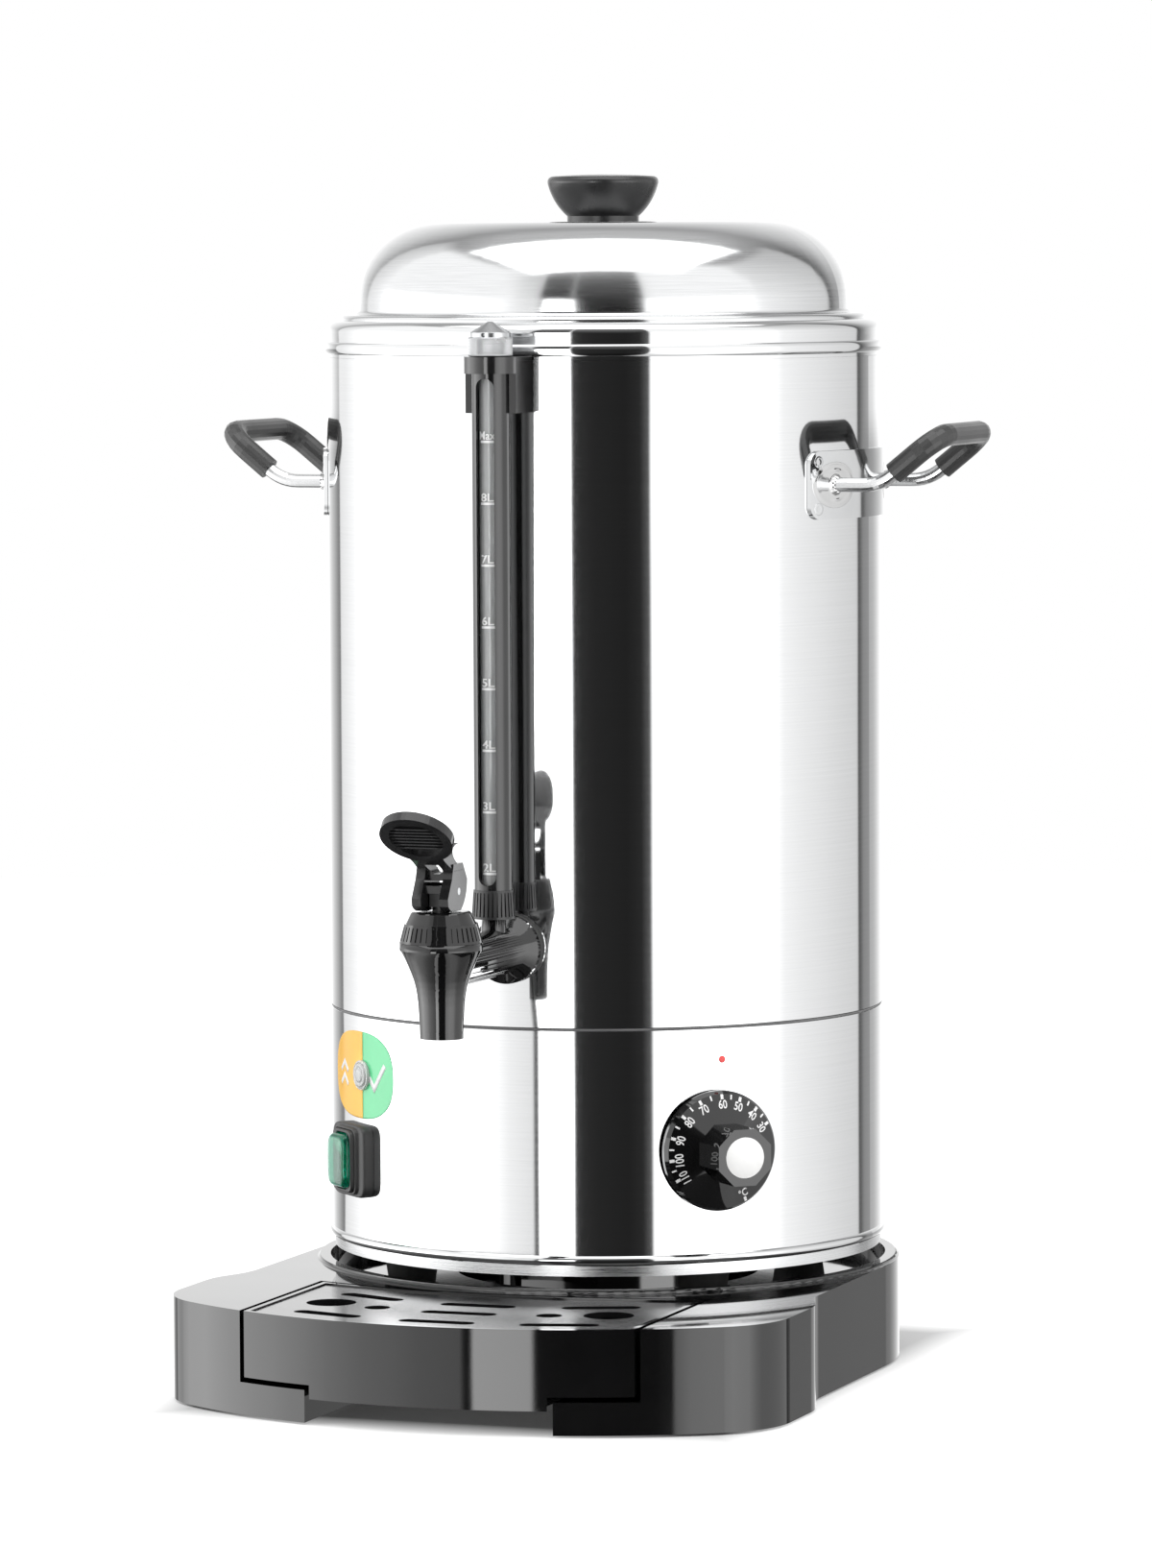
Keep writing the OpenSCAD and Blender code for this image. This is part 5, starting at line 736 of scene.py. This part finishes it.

# Tap. A black moulded body with a barrel through the wall and a spout that flares in a curve; the bonnet screws on
# its top and guides the stem, whose rubber cup is lifted off the seat when the lever is tilted. A spring of steel
# wire under the bonnet pushes the cup back; it is kept at its rest length and rides with the urn.
spout_y = axis_y - 202 * MM
seat_rubber = grained("seat_rubber", (0.60, 0.58, 0.54), (0.70, 0.68, 0.64), (0.42, 0.56), 1700, 2e-5)
lever_black = grained("lever_black", (0.010, 0.010, 0.0103), (0.017, 0.017, 0.0175), (0.15, 0.23), 2200, 6e-6, 6e-5)
dress(gloss_black, "tap_bonnet")
dress(lever_black, "tap_lever")
dress(satin_black, "tap_stem", "tap_inner_nut")
dress(seat_rubber, "tap_seat_cup")
dress(plain_steel, "lever_pin")


def merged_copy(node):
    """A node's mesh opened for cutting, with the corners that its loose triangles share merged."""
    cut = bmesh.new()
    cut.from_mesh(nodes[node].data)
    bmesh.ops.remove_doubles(cut, verts=cut.verts[:], dist=1e-6)
    return cut


def smooth_piece(name, cut, material):
    """A smooth piece at the origin from a mesh that was opened for cutting."""
    mesh = bpy.data.meshes.new(name)
    cut.to_mesh(mesh)
    cut.free()
    mesh.polygons.foreach_set("use_smooth", [True] * len(mesh.polygons))
    mesh.materials.append(material)
    piece = bpy.data.objects.new(name, mesh)
    bpy.context.collection.objects.link(piece)
    return piece


return_spring = smooth_piece("return_spring", merged_copy("tap_spring"), plain_steel)
return_spring.data.set_sharp_from_angle(angle=math.radians(40))
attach(return_spring, "kettle")
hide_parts("tap_spring")
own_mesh(return_spring)

spout_wide, spout_rim = 17.3 * MM, 196.6 * MM


def near_spout(mesh):
    """Faces, edges and corners whose face centres lie within the spout's width and below its rim, in mesh order."""
    middles = [(face, face.calc_center_median()) for face in mesh.faces]
    faces = [face for face, middle in middles
             if math.hypot(middle.x, middle.y - spout_y) < spout_wide and middle.z < spout_rim]
    edges = dict.fromkeys(edge for face in faces for edge in face.edges)
    corners = dict.fromkeys(corner for face in faces for corner in face.verts)
    return faces, list(edges), list(corners)


straight_spout = np.array([[160, 8.95], [179, 10.1], [189.25, 14.025], [196.5, 17.15], [199.5, 17.15]]) * MM
flared_spout = np.array([
    [160, 8.95], [165, 9.1], [170, 9.35], [174, 9.6], [178, 10.05], [181, 10.6], [184, 11.4], [187, 12.5],
    [190, 13.75], [193, 15.1], [195.5, 16.4], [196.5, 17.15]]) * MM
spout_cut = merged_copy("tap_body")
bmesh.ops.dissolve_limit(spout_cut, angle_limit=math.radians(0.3), verts=[], edges=near_spout(spout_cut)[1])
for level in np.linspace(162, 196, 35) * MM:
    bmesh.ops.bisect_plane(spout_cut, geom=sum(near_spout(spout_cut), []), dist=1e-7,
                           plane_co=(0, 0, level), plane_no=(0, 0, 1))
tap_moulding = smooth_piece("tap_moulding", spout_cut, gloss_black)
corners = np.empty(3 * len(tap_moulding.data.vertices))
tap_moulding.data.vertices.foreach_get("co", corners)
corners = corners.reshape(-1, 3)
from_spout = np.hypot(corners[:, 0], corners[:, 1] - spout_y)
was, now = (np.interp(corners[:, 2], *profile.T) for profile in (straight_spout, flared_spout))
outside = (np.abs(from_spout - was) < 0.25 * MM) & (corners[:, 2] < 196.45 * MM)
squeeze = np.where(outside, now / was, 1)
corners[:, 0] *= squeeze
corners[:, 1] = spout_y + (corners[:, 1] - spout_y) * squeeze
tap_moulding.data.vertices.foreach_set("co", corners.ravel())
tap_moulding.data.set_sharp_from_angle(angle=math.radians(28))
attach(tap_moulding, "kettle")
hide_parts("tap_body")

# Ribs of the finger pad. Seven round bars lie across the recess in the pad's face and end short of its oval rim.
# They are moulded with the lever, in the same glossy black plastic, to give a wet finger its grip.
pin_low, pin_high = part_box("lever_pin")
pad_lean = math.radians(142)
pad_y, pad_z = spout_y - 26 * MM, (pin_low.z + pin_high.z) / 2 + 25.5 * MM


def on_pad(across, along, lift):
    """Points in the frame of the finger pad: across runs along the pin, along up the pad and lift out of its face."""
    across, along, lift = np.broadcast_arrays(across, along, lift)
    return np.stack([across, pad_y + along * math.cos(pad_lean) - lift * math.sin(pad_lean),
                     pad_z + along * math.sin(pad_lean) + lift * math.cos(pad_lean)], -1)


rib_count, ribs_span, rib_half_wide, rib_foot, rib_tall = 7, 15.5, 0.66, 1.55, 1.35
pad_ribs = []
for place in (np.arange(rib_count) - rib_count // 2) * ribs_span / rib_count:
    half = 10.6 * math.sqrt(1 - (place / 11.4) ** 2)
    x, t = np.meshgrid(half * np.sin(np.linspace(-np.pi / 2, np.pi / 2, 33)), circle(24), indexing="ij")
    full = np.sqrt(np.clip(1.04 - (x / half) ** 8, 0, 1))
    points = on_pad(x * MM, (place + rib_half_wide * full * np.cos(t)) * MM,
                    (rib_foot + rib_tall * full * np.maximum(np.sin(t), -0.2)) * MM)
    faces = quad_faces(33, 24, close_cols=True).tolist() + [list(range(23, -1, -1)), list(range(32 * 24, 33 * 24))]
    pad_ribs.append((points, faces))
ribs = surface("pad_ribs", *joined(pad_ribs), lever_black)
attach(ribs, "tap_lever")

# Lid. A steel dome, spun over a former and left satin, whose flange is rolled to a round edge that sits inside the
# collar; a black moulded knob is held by a screw from below.
spun_steel = turned_steel("spun_steel", (0.55, 0.555, 0.56), (0.61, 0.615, 0.62), (0.10, 0.15), 2600, 1.5e-6, 6e-5)
knob_black = grained("knob_black", (0.010, 0.010, 0.0105), (0.017, 0.017, 0.0175), (0.22, 0.34), 2400, 2e-5)
dress(spun_steel, "lid")
dress(knob_black, "lid_knob")
turn = np.linspace(0, np.pi / 2, 13)
roll_r = 2.25
roll = np.stack([111.9 + roll_r * np.cos(turn), 452.1 + roll_r * np.sin(turn)], 1)
turn = np.linspace(np.pi / 2, np.pi, 9)[1:]
cove_r = 1.8
cove = np.stack([107.12 + cove_r + cove_r * np.cos(turn), 456.15 - cove_r * np.sin(turn)], 1)
roll_profile = np.vstack([[[111.5, 447.75], [114.0, 447.75], [114.15, 447.9]], roll, cove,
                          [[106.6, 456.15], [106.6, 453.9], [111.5, 453.9]]]) * MM
lid_roll = ring_about_axis("lid_roll", roll_profile, spun_steel)
lid_roll.data.set_sharp_from_angle(angle=math.radians(40))
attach(lid_roll, "lid")
